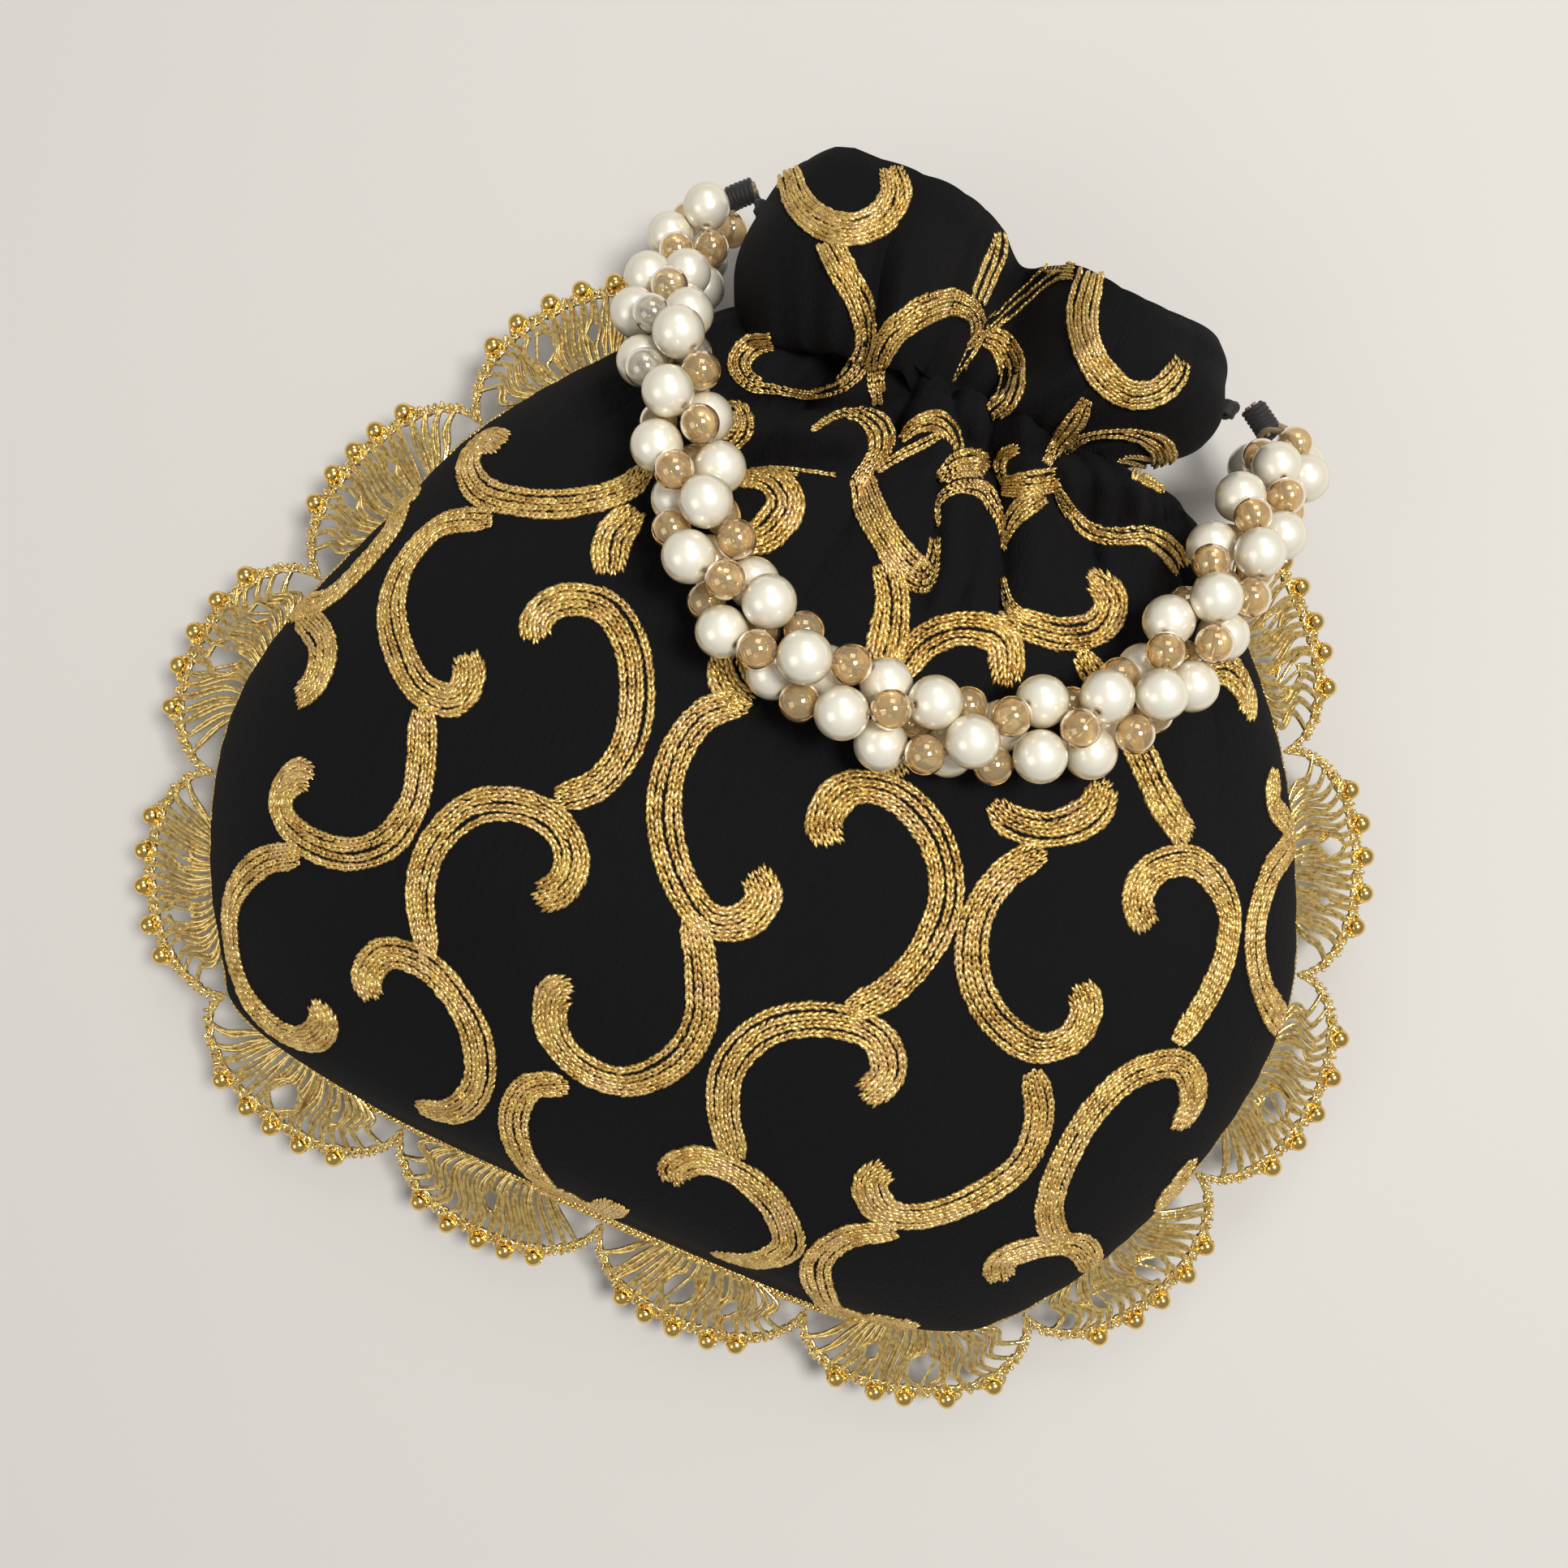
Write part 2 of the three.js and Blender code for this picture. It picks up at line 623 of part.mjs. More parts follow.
// Plate between an outline and its openings, all given as corners with a place and a thickness
function plate(outline, openings) {
  const flat = (loop) => loop.map(({ place }) => new THREE.Vector2(place.x, place.y));
  const faces = THREE.ShapeUtils.triangulateShape(flat(outline), openings.map(flat));
  const corners = [outline, ...openings].flat();
  const count = corners.length;
  const level = (sign) => corners.flatMap(({ place, thick }) => {
    return raised(place, (sign * thick) / 2).toArray();
  });
  const index = [];
  for (const [a, b, c] of faces) index.push(a, b, c, a + count, c + count, b + count);
  let first = 0;
  for (const loop of [outline, ...openings]) {
    for (let i = 0; i < loop.length; i++) {
      const a = first + i;
      const b = first + ((i + 1) % loop.length);
      index.push(a, b, a + count, b, b + count, a + count);
    }
    first += loop.length;
  }
  return closedGeometry([...level(1), ...level(-1)], index);
}

function raised(point, lift) {
  return new THREE.Vector3(point.x, point.y, point.z + lift);
}

// Tube through spots given as [place, radius]
function tube(spots, facets) {
  const up = new THREE.Vector3(0, 0, 1);
  const last = spots.length - 1;
  const rings = spots.map(([place, radius], i) => {
    const way = spots[Math.min(last, i + 1)][0].clone().sub(spots[Math.max(0, i - 1)][0]);
    const side = way.normalize().clone().cross(up).normalize();
    const over = side.clone().cross(way);
    const ring = [];
    for (let k = 0; k < facets; k++) {
      const turn = (k / facets) * 2 * Math.PI;
      const corner = place.clone().addScaledVector(side, radius * Math.cos(turn));
      ring.push(corner.addScaledVector(over, radius * Math.sin(turn)));
    }
    return ring;
  });
  return sweep(rings);
}

// One of the handle's threads, winding round the route, which swells into pearls and glass beads
function makeStrand(route, number) {
  const length = route.getLength();
  const up = new THREE.Vector3(0, 0, 1);
  const phase = (number / STRAND_COUNT) * 2 * Math.PI;
  const spots = [];
  const count = Math.round(length / STRAND_STEP);
  for (let i = 0; i <= count; i++) {
    const share = i / count;
    const centre = route.getPointAt(share);
    const way = route.getTangentAt(share);
    const side = way.clone().cross(up).normalize();
    const over = side.clone().cross(way);
    const turn = (2 * Math.PI * length * share) / HANDLE_LAY + phase;
    const fromEnd = Math.min(share, 1 - share) * length;
    const spread = THREE.MathUtils.smoothstep(fromEnd, 0, STRAND_LEAD);
    const offset = THREE.MathUtils.lerp(STRAND_THREAD, STRAND_OFFSET, spread);
    centre.addScaledVector(side, offset * Math.cos(turn));
    spots.push(centre.addScaledVector(over, offset * Math.sin(turn)));
  }
  const thread = new THREE.CatmullRomCurve3(spots);
  thread.arcLengthDivisions = spots.length * 4;
  const strung = thread.getLength();
  const pair = PEARL_DIAMETER + GLASS_DIAMETER;
  const margin = STRAND_LEAD + PEARL_DIAMETER / 2;
  const start = margin + (number / STRAND_COUNT) * pair;
  const pairs = Math.floor((strung - margin - start) / pair);
  const beads = [];
  for (let n = 0; n <= pairs; n++) {
    beads.push([start + n * pair, PEARL_DIAMETER, PEARL_SLICES]);
    if (n < pairs) beads.push([start + n * pair + pair / 2, GLASS_DIAMETER, GLASS_SLICES]);
  }
  const at = (distance, radius) => [thread.getPointAt(distance / strung), radius];
  const line = [at(0, STRAND_THREAD / 2)];
  line.push(at(start - PEARL_DIAMETER / 2, STRAND_THREAD / 2));
  for (const [middle, diameter, slices] of beads) {
    for (const slice of slices) {
      line.push(at(middle + (diameter / 2) * slice, (diameter / 2) * Math.sqrt(1 - slice * slice)));
    }
    line.push(at(middle + diameter / 2, STRAND_THREAD / 2));
  }
  line.push(at(strung, STRAND_THREAD / 2));
  return tube(line, STRAND_SIDES);
}

function makeKnot(place) {
  const knot = new THREE.SphereGeometry(KNOT_DIAMETER / 2, KNOT_SIDES, KNOT_RINGS);
  knot.translate(...place);
  return geometryOf(solidOf(knot));
}

const bag = new THREE.Group();
const pouch = makePouch();
const pouchMesh = meshOf('pouch', pouch.geometry, BLACK);
bag.add(pouchMesh);
const above = clothAbove(pouchMesh);
const clear = grown(pouchMesh.geometry, SEAT_GAP);
addVines(bag, above, clear, BODY_VINES, bodyPoint);
addVines(bag, above, clear, FRILL_VINES, frillPoint);
bag.add(meshOf('lace', makeLace(pouch.body), GOLD_LACE));
const route = new THREE.CatmullRomCurve3([
  ...HANDLE_LEFT_END.map(heightened(frillPoint)),
  ...HANDLE_OVER_PANEL.map(heightened(bodyPoint)),
  ...HANDLE_RIGHT_END.map(heightened(frillPoint)),
]);
for (let n = 0; n < STRAND_COUNT; n++) {
  bag.add(meshOf(`handle_strand_${n + 1}`, makeStrand(route, n), PEARL));
}
for (const [name, place] of Object.entries(KNOTS)) {
  bag.add(meshOf(name, makeKnot(heightened(frillPoint)(place)), BLACK));
}

export default bag;
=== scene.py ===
"""Black potli bag with gold scroll embroidery, a bead lace edge and a twisted pearl handle."""
import math

import bpy
import numpy as np
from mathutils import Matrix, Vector
from mathutils.bvhtree import BVHTree


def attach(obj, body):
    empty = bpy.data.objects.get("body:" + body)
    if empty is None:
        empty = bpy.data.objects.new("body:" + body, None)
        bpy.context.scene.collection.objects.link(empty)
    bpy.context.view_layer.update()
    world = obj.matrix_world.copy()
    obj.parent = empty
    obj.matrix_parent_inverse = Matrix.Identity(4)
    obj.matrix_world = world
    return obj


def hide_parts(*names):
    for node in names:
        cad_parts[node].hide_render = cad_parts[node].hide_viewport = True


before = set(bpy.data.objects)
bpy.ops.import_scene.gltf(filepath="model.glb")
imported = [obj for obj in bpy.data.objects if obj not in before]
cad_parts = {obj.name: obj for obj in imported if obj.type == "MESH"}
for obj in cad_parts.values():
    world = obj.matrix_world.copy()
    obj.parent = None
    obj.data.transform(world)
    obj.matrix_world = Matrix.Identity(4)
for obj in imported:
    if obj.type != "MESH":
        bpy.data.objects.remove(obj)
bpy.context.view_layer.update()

bl_info = {
    "name": "Potli bag",
    "version": (1, 0, 0),
    "blender": (4, 5, 0),
    "location": "3D View > Sidebar > Potli",
    "description": "Embroidered drawstring bag with a lace edge and a bead handle",
    "category": "Object",
}

MM = 0.001
PHOTO_SIDE = 1932
EYE = np.array([0.0, 0.0, 345.0])
EYE_TURN = math.radians(24)
EYE_COS, EYE_SIN = math.cos(EYE_TURN), math.sin(EYE_TURN)

# Body and frill, in millimetres and hundredths. The sections are the solid model's, moved a little
# at the shoulders and the neck to follow the photograph's outline.
BODY_WIDTH = 224
BODY_LENGTH = 168
BODY_THICKNESS = 68
BODY_CENTRE_X = 2
BOTTOM_SEAM_Y = -97
PANEL_ROUNDNESS = 2.2
PANEL_FULLNESS = 0.62
FRILL_WIDTH = 100
FRILL_LENGTH = 41
VALLEY_PLACE = 0.07
VALLEY_WIDTH = 0.2
NECK_Y = BOTTOM_SEAM_Y + BODY_LENGTH

# Where the frill, the drawn groove and the hem lie, counted in sections from the bottom seam
FRILL_RINGS = (14.6, 16.2)
GROOVE_RING = 15.35
HEM_RINGS = (16.5, 21)
INNER_RINGS = 4.6

# Mesh of the bag: points round a ring, and rings from one section to another
FRONT_POINTS, BACK_POINTS = 280, 110
RING_RUNS = ((0, 3, 34), (3, 11, 60))
TOP_RING_COUNT = 110
INNER_RING_COUNT = 34

BODY_SECTIONS = [
    [-43, 0, 45, 0, 27.5, 26, 24.5],
    [-64, 2, 58, 2, 41, 26, 17],
    [-78, 5, 70, 5, 58, 27, 9],
    [-84, 10, 78, 10, 71, 27, 4],
    [-92, 19, 87, 19, 85, 28, 0],
    [-98, 30, 94, 30, 95, 29, 0],
    [-100, 40, 98, 40, 99, 30, 0],
    [-98, 50, 100, 50, 100, 30, 0],
    [-93, 60, 99, 60, 99, 30, 0],
    [-87, 70, 93, 70, 96, 31, 0],
    [-81, 80, 85, 80, 91, 32, 0],
    [-72, 89, 76, 88, 86, 35, 3],
    [-61, 97.5, 63, 97, 81, 38, 9],
    [-52, 103, 50, 105, 78, 42, 16],
    [-44, 107, 41, 106, 76, 47, 24],
    [-35, 107, 31, 105, 75, 52, 30],
]
FRILL_SECTIONS = [
    [-80, 6, 72, 32, 86, 50, 26],
    [-92, 22, 93, 52, 97, 46, 20],
    [-102, 48, 100, 68, 100, 42, 15],
    [-102, 74, 97, 84, 98, 39, 12],
    [-100, 90, 95, 92, 97, 39, 11],
    [-97, 98, 90, 99, 95, 39, 11],
]

# Folds of the cloth at the neck, each a line where it is seen from above, with its width there
# and its height in millimetres. Creases have a negative height and are sharp.
FOLDS = [
    ([(895, 492), (950, 490), (1010, 497), (1060, 500), (1085, 488)], 12, -6.0),
    ([(865, 575), (930, 570), (1000, 573), (1045, 566)], 8, -3.5),
    ([(870, 545), (960, 533), (1035, 538)], 17, 4.0),
    ([(1100, 505), (1112, 530)], 10, -5.0),
    ([(1183, 460), (1180, 500), (1195, 540), (1222, 562)], 16, -7.0),
    ([(1157, 585), (1155, 640), (1154, 700), (1138, 750)], 7, -4.0),
    ([(1234, 590), (1238, 680), (1236, 745)], 7, -4.5),
    ([(1195, 610), (1196, 740)], 24, 2.4),
    ([(1282, 620), (1285, 720)], 26, 2.0),
    ([(1085, 600), (1120, 680)], 24, 1.6),
    ([(1297, 600), (1322, 650), (1352, 690)], 8, -3.0),
    ([(1298, 565), (1330, 545), (1400, 540), (1452, 590)], 9, -5.5),
    ([(1315, 590), (1370, 598), (1445, 618)], 22, 5.5),
    ([(1305, 618), (1350, 648), (1420, 646), (1460, 632)], 8, -4.5),
    ([(1262, 345), (1225, 385), (1195, 420), (1182, 460)], 10, -6.0),
    ([(1180, 470), (1120, 485), (1085, 492)], 12, -4.0),
    ([(1225, 560), (1280, 548), (1330, 530)], 12, -5.0),
]

# Outline of the hem: shares across the frill with how far the hem goes beyond its section
HEM = [
    (-1, -1.0), (-0.9, -1.9), (-0.8, 0.0), (-0.72, 0.2), (-0.6, -0.9), (-0.4, -1.4), (-0.25, -0.8),
    (-0.15, 1.0), (-0.05, 2.6), (0.05, 1.5), (0.15, 1.7), (0.25, -0.3), (0.35, -3.4), (0.45, -5.2),
    (0.55, -5.5), (0.65, -4.8), (0.75, -3.2), (0.85, -1.8), (0.95, -0.4), (1, 0.0),
]

# Scrolls on the front, each the middle of its band as the places where it is seen from above
SCROLLS = {
    "vine_left_edge": [
        [(498, 590), (490, 640), (450, 695), (400, 740), (350, 755)],
        [(372, 755), (398, 790), (392, 835), (362, 868)],
    ],
    "vine_left_outer": [
        [(800, 575), (775, 600), (720, 619), (642, 620), (594, 606), (577, 575), (594, 545),
         (625, 547)],
        [(612, 640), (545, 648), (500, 695), (483, 745), (492, 800), (520, 850), (560, 862),
         (578, 838),
         (574, 802)],
        [(522, 866), (520, 930), (510, 990), (480, 1035), (430, 1052), (378, 1035), (350, 1005),
         (350, 975), (370, 955), (388, 962)],
        [(374, 1052), (325, 1062), (290, 1100), (285, 1160), (302, 1220), (338, 1265), (378, 1280),
         (400, 1262), (388, 1228)],
    ],
    "vine_left_inner": [
        [(790, 625), (755, 665), (752, 715)],
        [(680, 985), (735, 968), (770, 925), (785, 860), (776, 793), (742, 746), (690, 742),
         (662, 766),
         (664, 795)],
        [(530, 1180), (518, 1100), (535, 1040), (585, 995), (645, 993), (690, 1020), (705, 1060),
         (690, 1095), (655, 1108)],
        [(510, 1362), (560, 1368), (588, 1340), (588, 1280), (560, 1225), (520, 1185), (475, 1175),
         (452, 1205), (465, 1235)],
    ],
    "vine_centre_left": [
        [(890, 800), (900, 840), (930, 870)],
        [(925, 865), (870, 880), (832, 930), (818, 1000), (835, 1080), (875, 1135), (915, 1135),
         (940, 1105), (925, 1068)],
        [(850, 1122), (865, 1195), (862, 1260), (830, 1310), (770, 1332), (710, 1310), (680, 1265),
         (685, 1222), (712, 1222)],
        [(705, 1335), (652, 1340), (633, 1375), (648, 1430), (690, 1472), (735, 1492), (765, 1480)],
    ],
    "vine_centre": [
        [(1090, 910), (1115, 960)],
        [(1040, 1248), (1095, 1220), (1140, 1170), (1165, 1100), (1150, 1030), (1100, 978),
         (1045, 972),
         (1015, 1010), (1028, 1048)],
        [(908, 1432), (892, 1370), (899, 1312), (945, 1268), (1020, 1256), (1080, 1278),
         (1094, 1320),
         (1058, 1358)],
        [(880, 1545), (935, 1552), (970, 1535), (958, 1490), (910, 1445), (860, 1428), (832, 1440),
         (838, 1462)],
    ],
    "vine_centre_right": [
        [(1222, 985), (1240, 1008), (1290, 1022), (1345, 1000), (1365, 960)],
        [(1290, 1045), (1240, 1075), (1203, 1130), (1198, 1195), (1225, 1255), (1275, 1290),
         (1320, 1278), (1338, 1240), (1325, 1210)],
        [(1270, 1315), (1280, 1370), (1260, 1430), (1200, 1475), (1130, 1498), (1085, 1488),
         (1072, 1455), (1100, 1435)],
        [(1110, 1515), (1040, 1525), (1005, 1558), (1020, 1605), (1070, 1630), (1130, 1628)],
    ],
    "vine_right": [
        [(1100, 840), (1140, 790), (1190, 775), (1235, 790), (1240, 850)],
        [(1222, 764), (1262, 770), (1310, 782), (1352, 774), (1367, 742), (1338, 706)],
        [(1325, 800), (1360, 850), (1400, 920), (1430, 985), (1468, 1042)],
        [(1445, 1290), (1485, 1230), (1510, 1170), (1510, 1110), (1470, 1062), (1420, 1072),
         (1400, 1110), (1418, 1148)],
        [(1310, 1540), (1292, 1500), (1305, 1440), (1345, 1370), (1400, 1320), (1455, 1312),
         (1470, 1350), (1448, 1395)],
        [(1352, 1575), (1330, 1535), (1270, 1538), (1232, 1555), (1235, 1580)],
        [(1085, 690), (1098, 730), (1097, 770), (1085, 820), (1076, 850)],
    ],
    "vine_right_edge": [
        [(1570, 945), (1568, 990), (1590, 1030), (1562, 1080), (1545, 1150), (1555, 1220),
         (1580, 1265)],
    ],
    "scroll_right_shoulder": [[(1480, 830), (1510, 825), (1535, 855), (1535, 890)]],
    "scroll_right_corner": [[(1472, 1425), (1452, 1455), (1440, 1495)]],
    "scroll_left_gather": [[(900, 590), (950, 590), (970, 620), (940, 660), (905, 665)]],
}

# Scrolls that run over the folds of the neck and the frill, with the width of the band as it is
# seen at each place
NECK_SCROLLS = {
    "frill_left_vine": [
        [(972, 214, 30), (985, 250, 38), (1015, 275, 40), (1050, 284, 40), (1085, 270, 42),
         (1103, 240, 40), (1098, 208, 28)],
        [(1022, 300, 36), (1040, 335, 36), (1060, 375, 32), (1067, 425, 30), (1046, 465, 22),
         (1005, 485, 14), (960, 478, 14), (925, 470, 22), (912, 448, 34), (925, 428, 32),
         (950, 422, 22)],
    ],
    "frill_right_scroll": [
        [(1345, 338, 34), (1335, 380, 40), (1338, 420, 38), (1354, 455, 38), (1387, 484, 36),
         (1420, 484, 36), (1444, 466, 34), (1455, 445, 22)],
    ],
    "frill_scrolls": [
        [(1083, 495, 16), (1080, 455, 24), (1095, 418, 32), (1130, 388, 36), (1172, 372, 34),
         (1198, 385, 26), (1203, 410, 20), (1190, 440, 12), (1176, 468, 6)],
        [(1205, 368, 26), (1216, 340, 28), (1228, 308, 26), (1231, 286, 16)],
        [(1192, 428, 12), (1222, 400, 20), (1262, 364, 26), (1300, 334, 28), (1323, 334, 20)],
        [(1208, 415, 20), (1232, 425, 36), (1248, 455, 38), (1240, 490, 36), (1220, 508, 22)],
        [(1338, 492, 18), (1325, 518, 26), (1305, 545, 22), (1288, 572, 14)],
        [(1312, 556, 6), (1335, 540, 10), (1370, 533, 12), (1405, 536, 18), (1430, 552, 32),
         (1434, 578, 26), (1434, 602, 10)],
        [(1425, 572, 20), (1400, 566, 16), (1375, 565, 6)],
    ],
    "neck_scrolls": [
        [(1003, 530, 6), (1030, 515, 14), (1060, 512, 24), (1083, 530, 36), (1085, 552, 34),
         (1070, 575, 24), (1060, 592, 26)],
        [(1062, 592, 34), (1072, 625, 40), (1092, 662, 42), (1115, 695, 44), (1135, 710, 42),
         (1148, 690, 24), (1152, 664, 16)],
        [(1083, 580, 10), (1110, 563, 14), (1140, 547, 14), (1160, 535, 10)],
        [(1113, 542, 12), (1130, 525, 24), (1155, 520, 30), (1173, 535, 22), (1180, 555, 12)],
        [(1160, 590, 16), (1178, 575, 34), (1205, 572, 36), (1214, 582, 20)],
        [(1155, 645, 5), (1158, 618, 8), (1180, 602, 16), (1210, 604, 24), (1230, 635, 16),
         (1237, 676, 6)],
        [(1238, 592, 12), (1234, 572, 18), (1245, 556, 18), (1255, 552, 12)],
        [(1236, 600, 26), (1268, 598, 34), (1303, 590, 26)],
        [(1240, 668, 6), (1246, 645, 22), (1262, 625, 30), (1285, 610, 24)],
        [(1300, 598, 12), (1318, 628, 18), (1345, 655, 24), (1378, 662, 24), (1412, 660, 28),
         (1440, 678, 32), (1456, 702, 26)],
        [(878, 548, 20), (900, 545, 24), (916, 525, 26), (906, 502, 22), (886, 512, 16)],
        [(912, 590, 18), (945, 582, 14), (985, 583, 9), (1030, 587, 5)],
        [(1237, 715, 4), (1243, 742, 14), (1262, 766, 26)],
    ],
}
OWN_PIECES = ("neck_scrolls", "frill_scrolls")

# Rows and stitches: widths in the photograph's pixels, all else in millimetres
SCROLL_ROWS = 4
STITCH_LIFT = 0.24
ROW_IN_VIEW = 9.4
VIEW_STITCH_GAP = 1.0
FOLD_JUMP = 1.6
STEEP_FACING = 0.75
EDGE_PULL = 0.012
EDGE_TRIES = 14

# The handle's middle line in metres, as in the solid model
HANDLE_ROUTE = [
    (-0.05475, 0.10934, 0.02346), (-0.06000, 0.10380, 0.02244), (-0.06150, 0.09519, 0.02312),
    (-0.06125, 0.08658, 0.02720), (-0.06072, 0.07856, 0.03672), (-0.05680, 0.07100, 0.04964),
    (-0.04952, 0.06092, 0.06188), (-0.04224, 0.05084, 0.06596), (-0.03552, 0.04076, 0.06970),
    (-0.02712, 0.03068, 0.07276), (-0.01760, 0.02396, 0.07514), (-0.00584, 0.01976, 0.07684),
    (0.00760, 0.01808, 0.07718), (0.01992, 0.01892, 0.07650), (0.03112, 0.02312, 0.07480),
    (0.04232, 0.02984, 0.07242), (0.05016, 0.03740, 0.06936), (0.05408, 0.04664, 0.06630),
    (0.05688, 0.05672, 0.06358), (0.05856, 0.06764, 0.05984), (0.06024, 0.07772, 0.05372),
    (0.06200, 0.08781, 0.04488), (0.06400, 0.09683, 0.03502), (0.06200, 0.10421, 0.02720),
    (0.05550, 0.10913, 0.02584),
]
KNOTS = {"handle_knot_left": (-51.5, 105.44, 25.02), "handle_knot_right": (51.5, 106.5, 25.98)}
STRAND_COUNT = 3
STRAND_OFFSET = 5.3
STRAND_LEAD = 9
STRAND_BOUND = 3.5
STRAND_THREAD = 1.6
HANDLE_LAY = 52
BEAD_BORE = 1.25
BEAD_ROOM = 0.94
BARE_END = 3.2
WRAP_RADIUS = 1.3
WHIP_RADIUS = 2.1
WHIP_REACH = (0.5, 7.5)
WHIP_PITCH = 0.95
KNOT_THREAD = 1.1

LACE_FANS = 12
LACE_DEPTH = 15.5
LACE_DROOP = 6
LACE_GAP = 0.9
BRAID_WIDTH = 2.2
BEADS_PER_FAN = 5
BEAD_PITCH = 6.6
SCALLOP_ROUNDNESS = 2.4
SCALLOP_FULLNESS = 0.6
THREAD_PAIRS = 18
CHAIN_STEP = 0.3
CHAIN_LOOP = 4.4
BRAID_LOOP = 3.2
BALL_BORE = 1.1

# Stage, in metres and watts
FLOOR_HALF = 3.0
LAMPS = (("key", (0.34, 0.24, 1.15), 0.32, 12.6), ("fill", (-0.2, 0.8, 0.9), 0.5, 1.8),
         ("low", (-0.6, -0.6, 0.8), 0.6, 1.4))
LAMP_COLOUR = (1.0, 0.975, 0.935)
LAMP_AIM = (0, 0, 0.03)
WORLD_COLOUR = (0.99, 0.985, 0.98, 1)
WORLD_STRENGTH = 0.29

made = {}


def length_of(name, about, millimetres):
    return bpy.props.FloatProperty(name=name, description=about, default=millimetres * MM,
                                   unit="LENGTH")


def colour_of(name, about, colour):
    return bpy.props.FloatVectorProperty(name=name, description=about, default=colour,
                                         subtype="COLOR", min=0, max=1)


class PotliSizes(bpy.types.PropertyGroup):
    """Sizes of the bag's cloth, stitches, lace and beads"""

    gather_depth: length_of("Gather depth", "Depth of the folds at the drawn neck", 4.2)
    cloth_thickness: length_of("Cloth thickness", "Thickness of the lined frill", 1.6)
    stitch_length: length_of("Stitch length", "Length of one chain stitch", 2.3)
    stitch_pitch: length_of("Stitch pitch", "Distance from one chain stitch to the next", 1.35)
    row_pitch: length_of("Row pitch", "Distance between neighbouring rows of chain stitch", 1.42)
    lace_thread: length_of("Lace thread", "Diameter of the lace's gold thread", 0.94)
    lace_ball: length_of("Lace ball", "Diameter of the polished balls on the lace", 4.2)
    strand: length_of(
        "Strand thread", "Diameter of the thread that carries the handle's beads", 1.2)
    pearl: length_of("Pearl", "Diameter of the handle's pearls", 9.6)
    glass: length_of("Glass bead", "Diameter of the handle's glass beads", 7.2)


class PotliColours(bpy.types.PropertyGroup):
    """Colours of the bag's cloth, gold thread and beads"""

    cloth: colour_of("Cloth", "Black of the crepe cloth", (0.0036, 0.0034, 0.0037))
    # Painted light in the gold: the light gold is the pale gold of the lace and the balls, and the
    # painted highlight of the chain stitches; the dark gold is painted shade.
    pale_gold_and_painted_highlight: colour_of("Light gold", "Gold thread where it is bright", (1.0, 0.74, 0.25))
    painted_shade_gold: colour_of("Dark gold", "Gold thread in its hollows", (0.46, 0.25, 0.055))
    gold_rose: colour_of(
        "Rose gold", "Paler, pinkish stretches of the gold thread", (0.93, 0.66, 0.34))
    pearl: colour_of("Pearl", "Ivory of the pearls", (0.93, 0.89, 0.77))
    glass: colour_of("Glass", "Champagne of the glass beads", (1.0, 0.79, 0.44))
    floor: colour_of("Floor", "Pale floor under the bag", (0.64, 0.625, 0.60))


# Shapes worked out in millimetres


def runs(line):
    """Distance along a run of places at each of them."""
    return np.concatenate([[0], np.cumsum(np.linalg.norm(np.diff(line, axis=0), axis=1))])


def total(line):
    return np.linalg.norm(np.diff(line, axis=0), axis=1).sum()


def blended(at, marks, rows):
    """Rows read off between the marks that they stand at."""
    return np.stack([np.interp(at, marks, rows[:, k]) for k in range(rows.shape[1])], axis=-1)


def unit(rows):
    return rows / np.maximum(np.linalg.norm(rows, axis=1), 1e-9)[:, None]


def smooth_line(points, step):
    """Places at an even step along a smooth curve through the points, and the curve's length."""
    p = np.array(points, float)
    p = np.vstack([2 * p[0] - p[1], p, 2 * p[-1] - p[-2]])
    dense = []
    for i in range(1, len(p) - 2):
        a, b, c, d = p[i - 1:i + 3]
        t0 = 0.0
        t1 = t0 + math.sqrt(np.linalg.norm(b - a))
        t2 = t1 + math.sqrt(np.linalg.norm(c - b))
        t3 = t2 + math.sqrt(np.linalg.norm(d - c))
        t = np.linspace(t1, t2, 24, endpoint=False)[:, None]
        a1 = (t1 - t) / (t1 - t0) * a + (t - t0) / (t1 - t0) * b
        a2 = (t2 - t) / (t2 - t1) * b + (t - t1) / (t2 - t1) * c
        a3 = (t3 - t) / (t3 - t2) * c + (t - t2) / (t3 - t2) * d
        b1 = (t2 - t) / (t2 - t0) * a1 + (t - t0) / (t2 - t0) * a2
        b2 = (t3 - t) / (t3 - t1) * a2 + (t - t1) / (t3 - t1) * a3
        dense.append((t2 - t) / (t2 - t1) * b1 + (t - t1) / (t2 - t1) * b2)
    dense.append(p[-2][None, :])
    dense = np.vstack(dense)
    run = runs(dense)
    count = max(2, int(round(run[-1] / step)))
    at = np.linspace(0, run[-1], count + 1)
    return blended(at, run, dense), run[-1]


def along_line(line, at):
    """Places at given distances along a run of places."""
    return blended(at, runs(line), line)


def directions(line):
    return unit(np.gradient(line, axis=0))


def section_rows():
    """Every section of the bag in millimetres, from the bottom seam to the frill's hem."""
    rows = []
    for sections, middle, start, width, length in (
            (BODY_SECTIONS, BODY_CENTRE_X, BOTTOM_SEAM_Y, BODY_WIDTH, BODY_LENGTH),
            (FRILL_SECTIONS, 0, NECK_Y, FRILL_WIDTH, FRILL_LENGTH)):
        for lx, ly, rx, ry, *heights in sections:
            rows.append([middle + lx / 100 * width / 2, start + ly / 100 * length,
                         middle + rx / 100 * width / 2, start + ry / 100 * length,
                         *(h / 100 * BODY_THICKNESS for h in heights)])
    return np.array(rows)


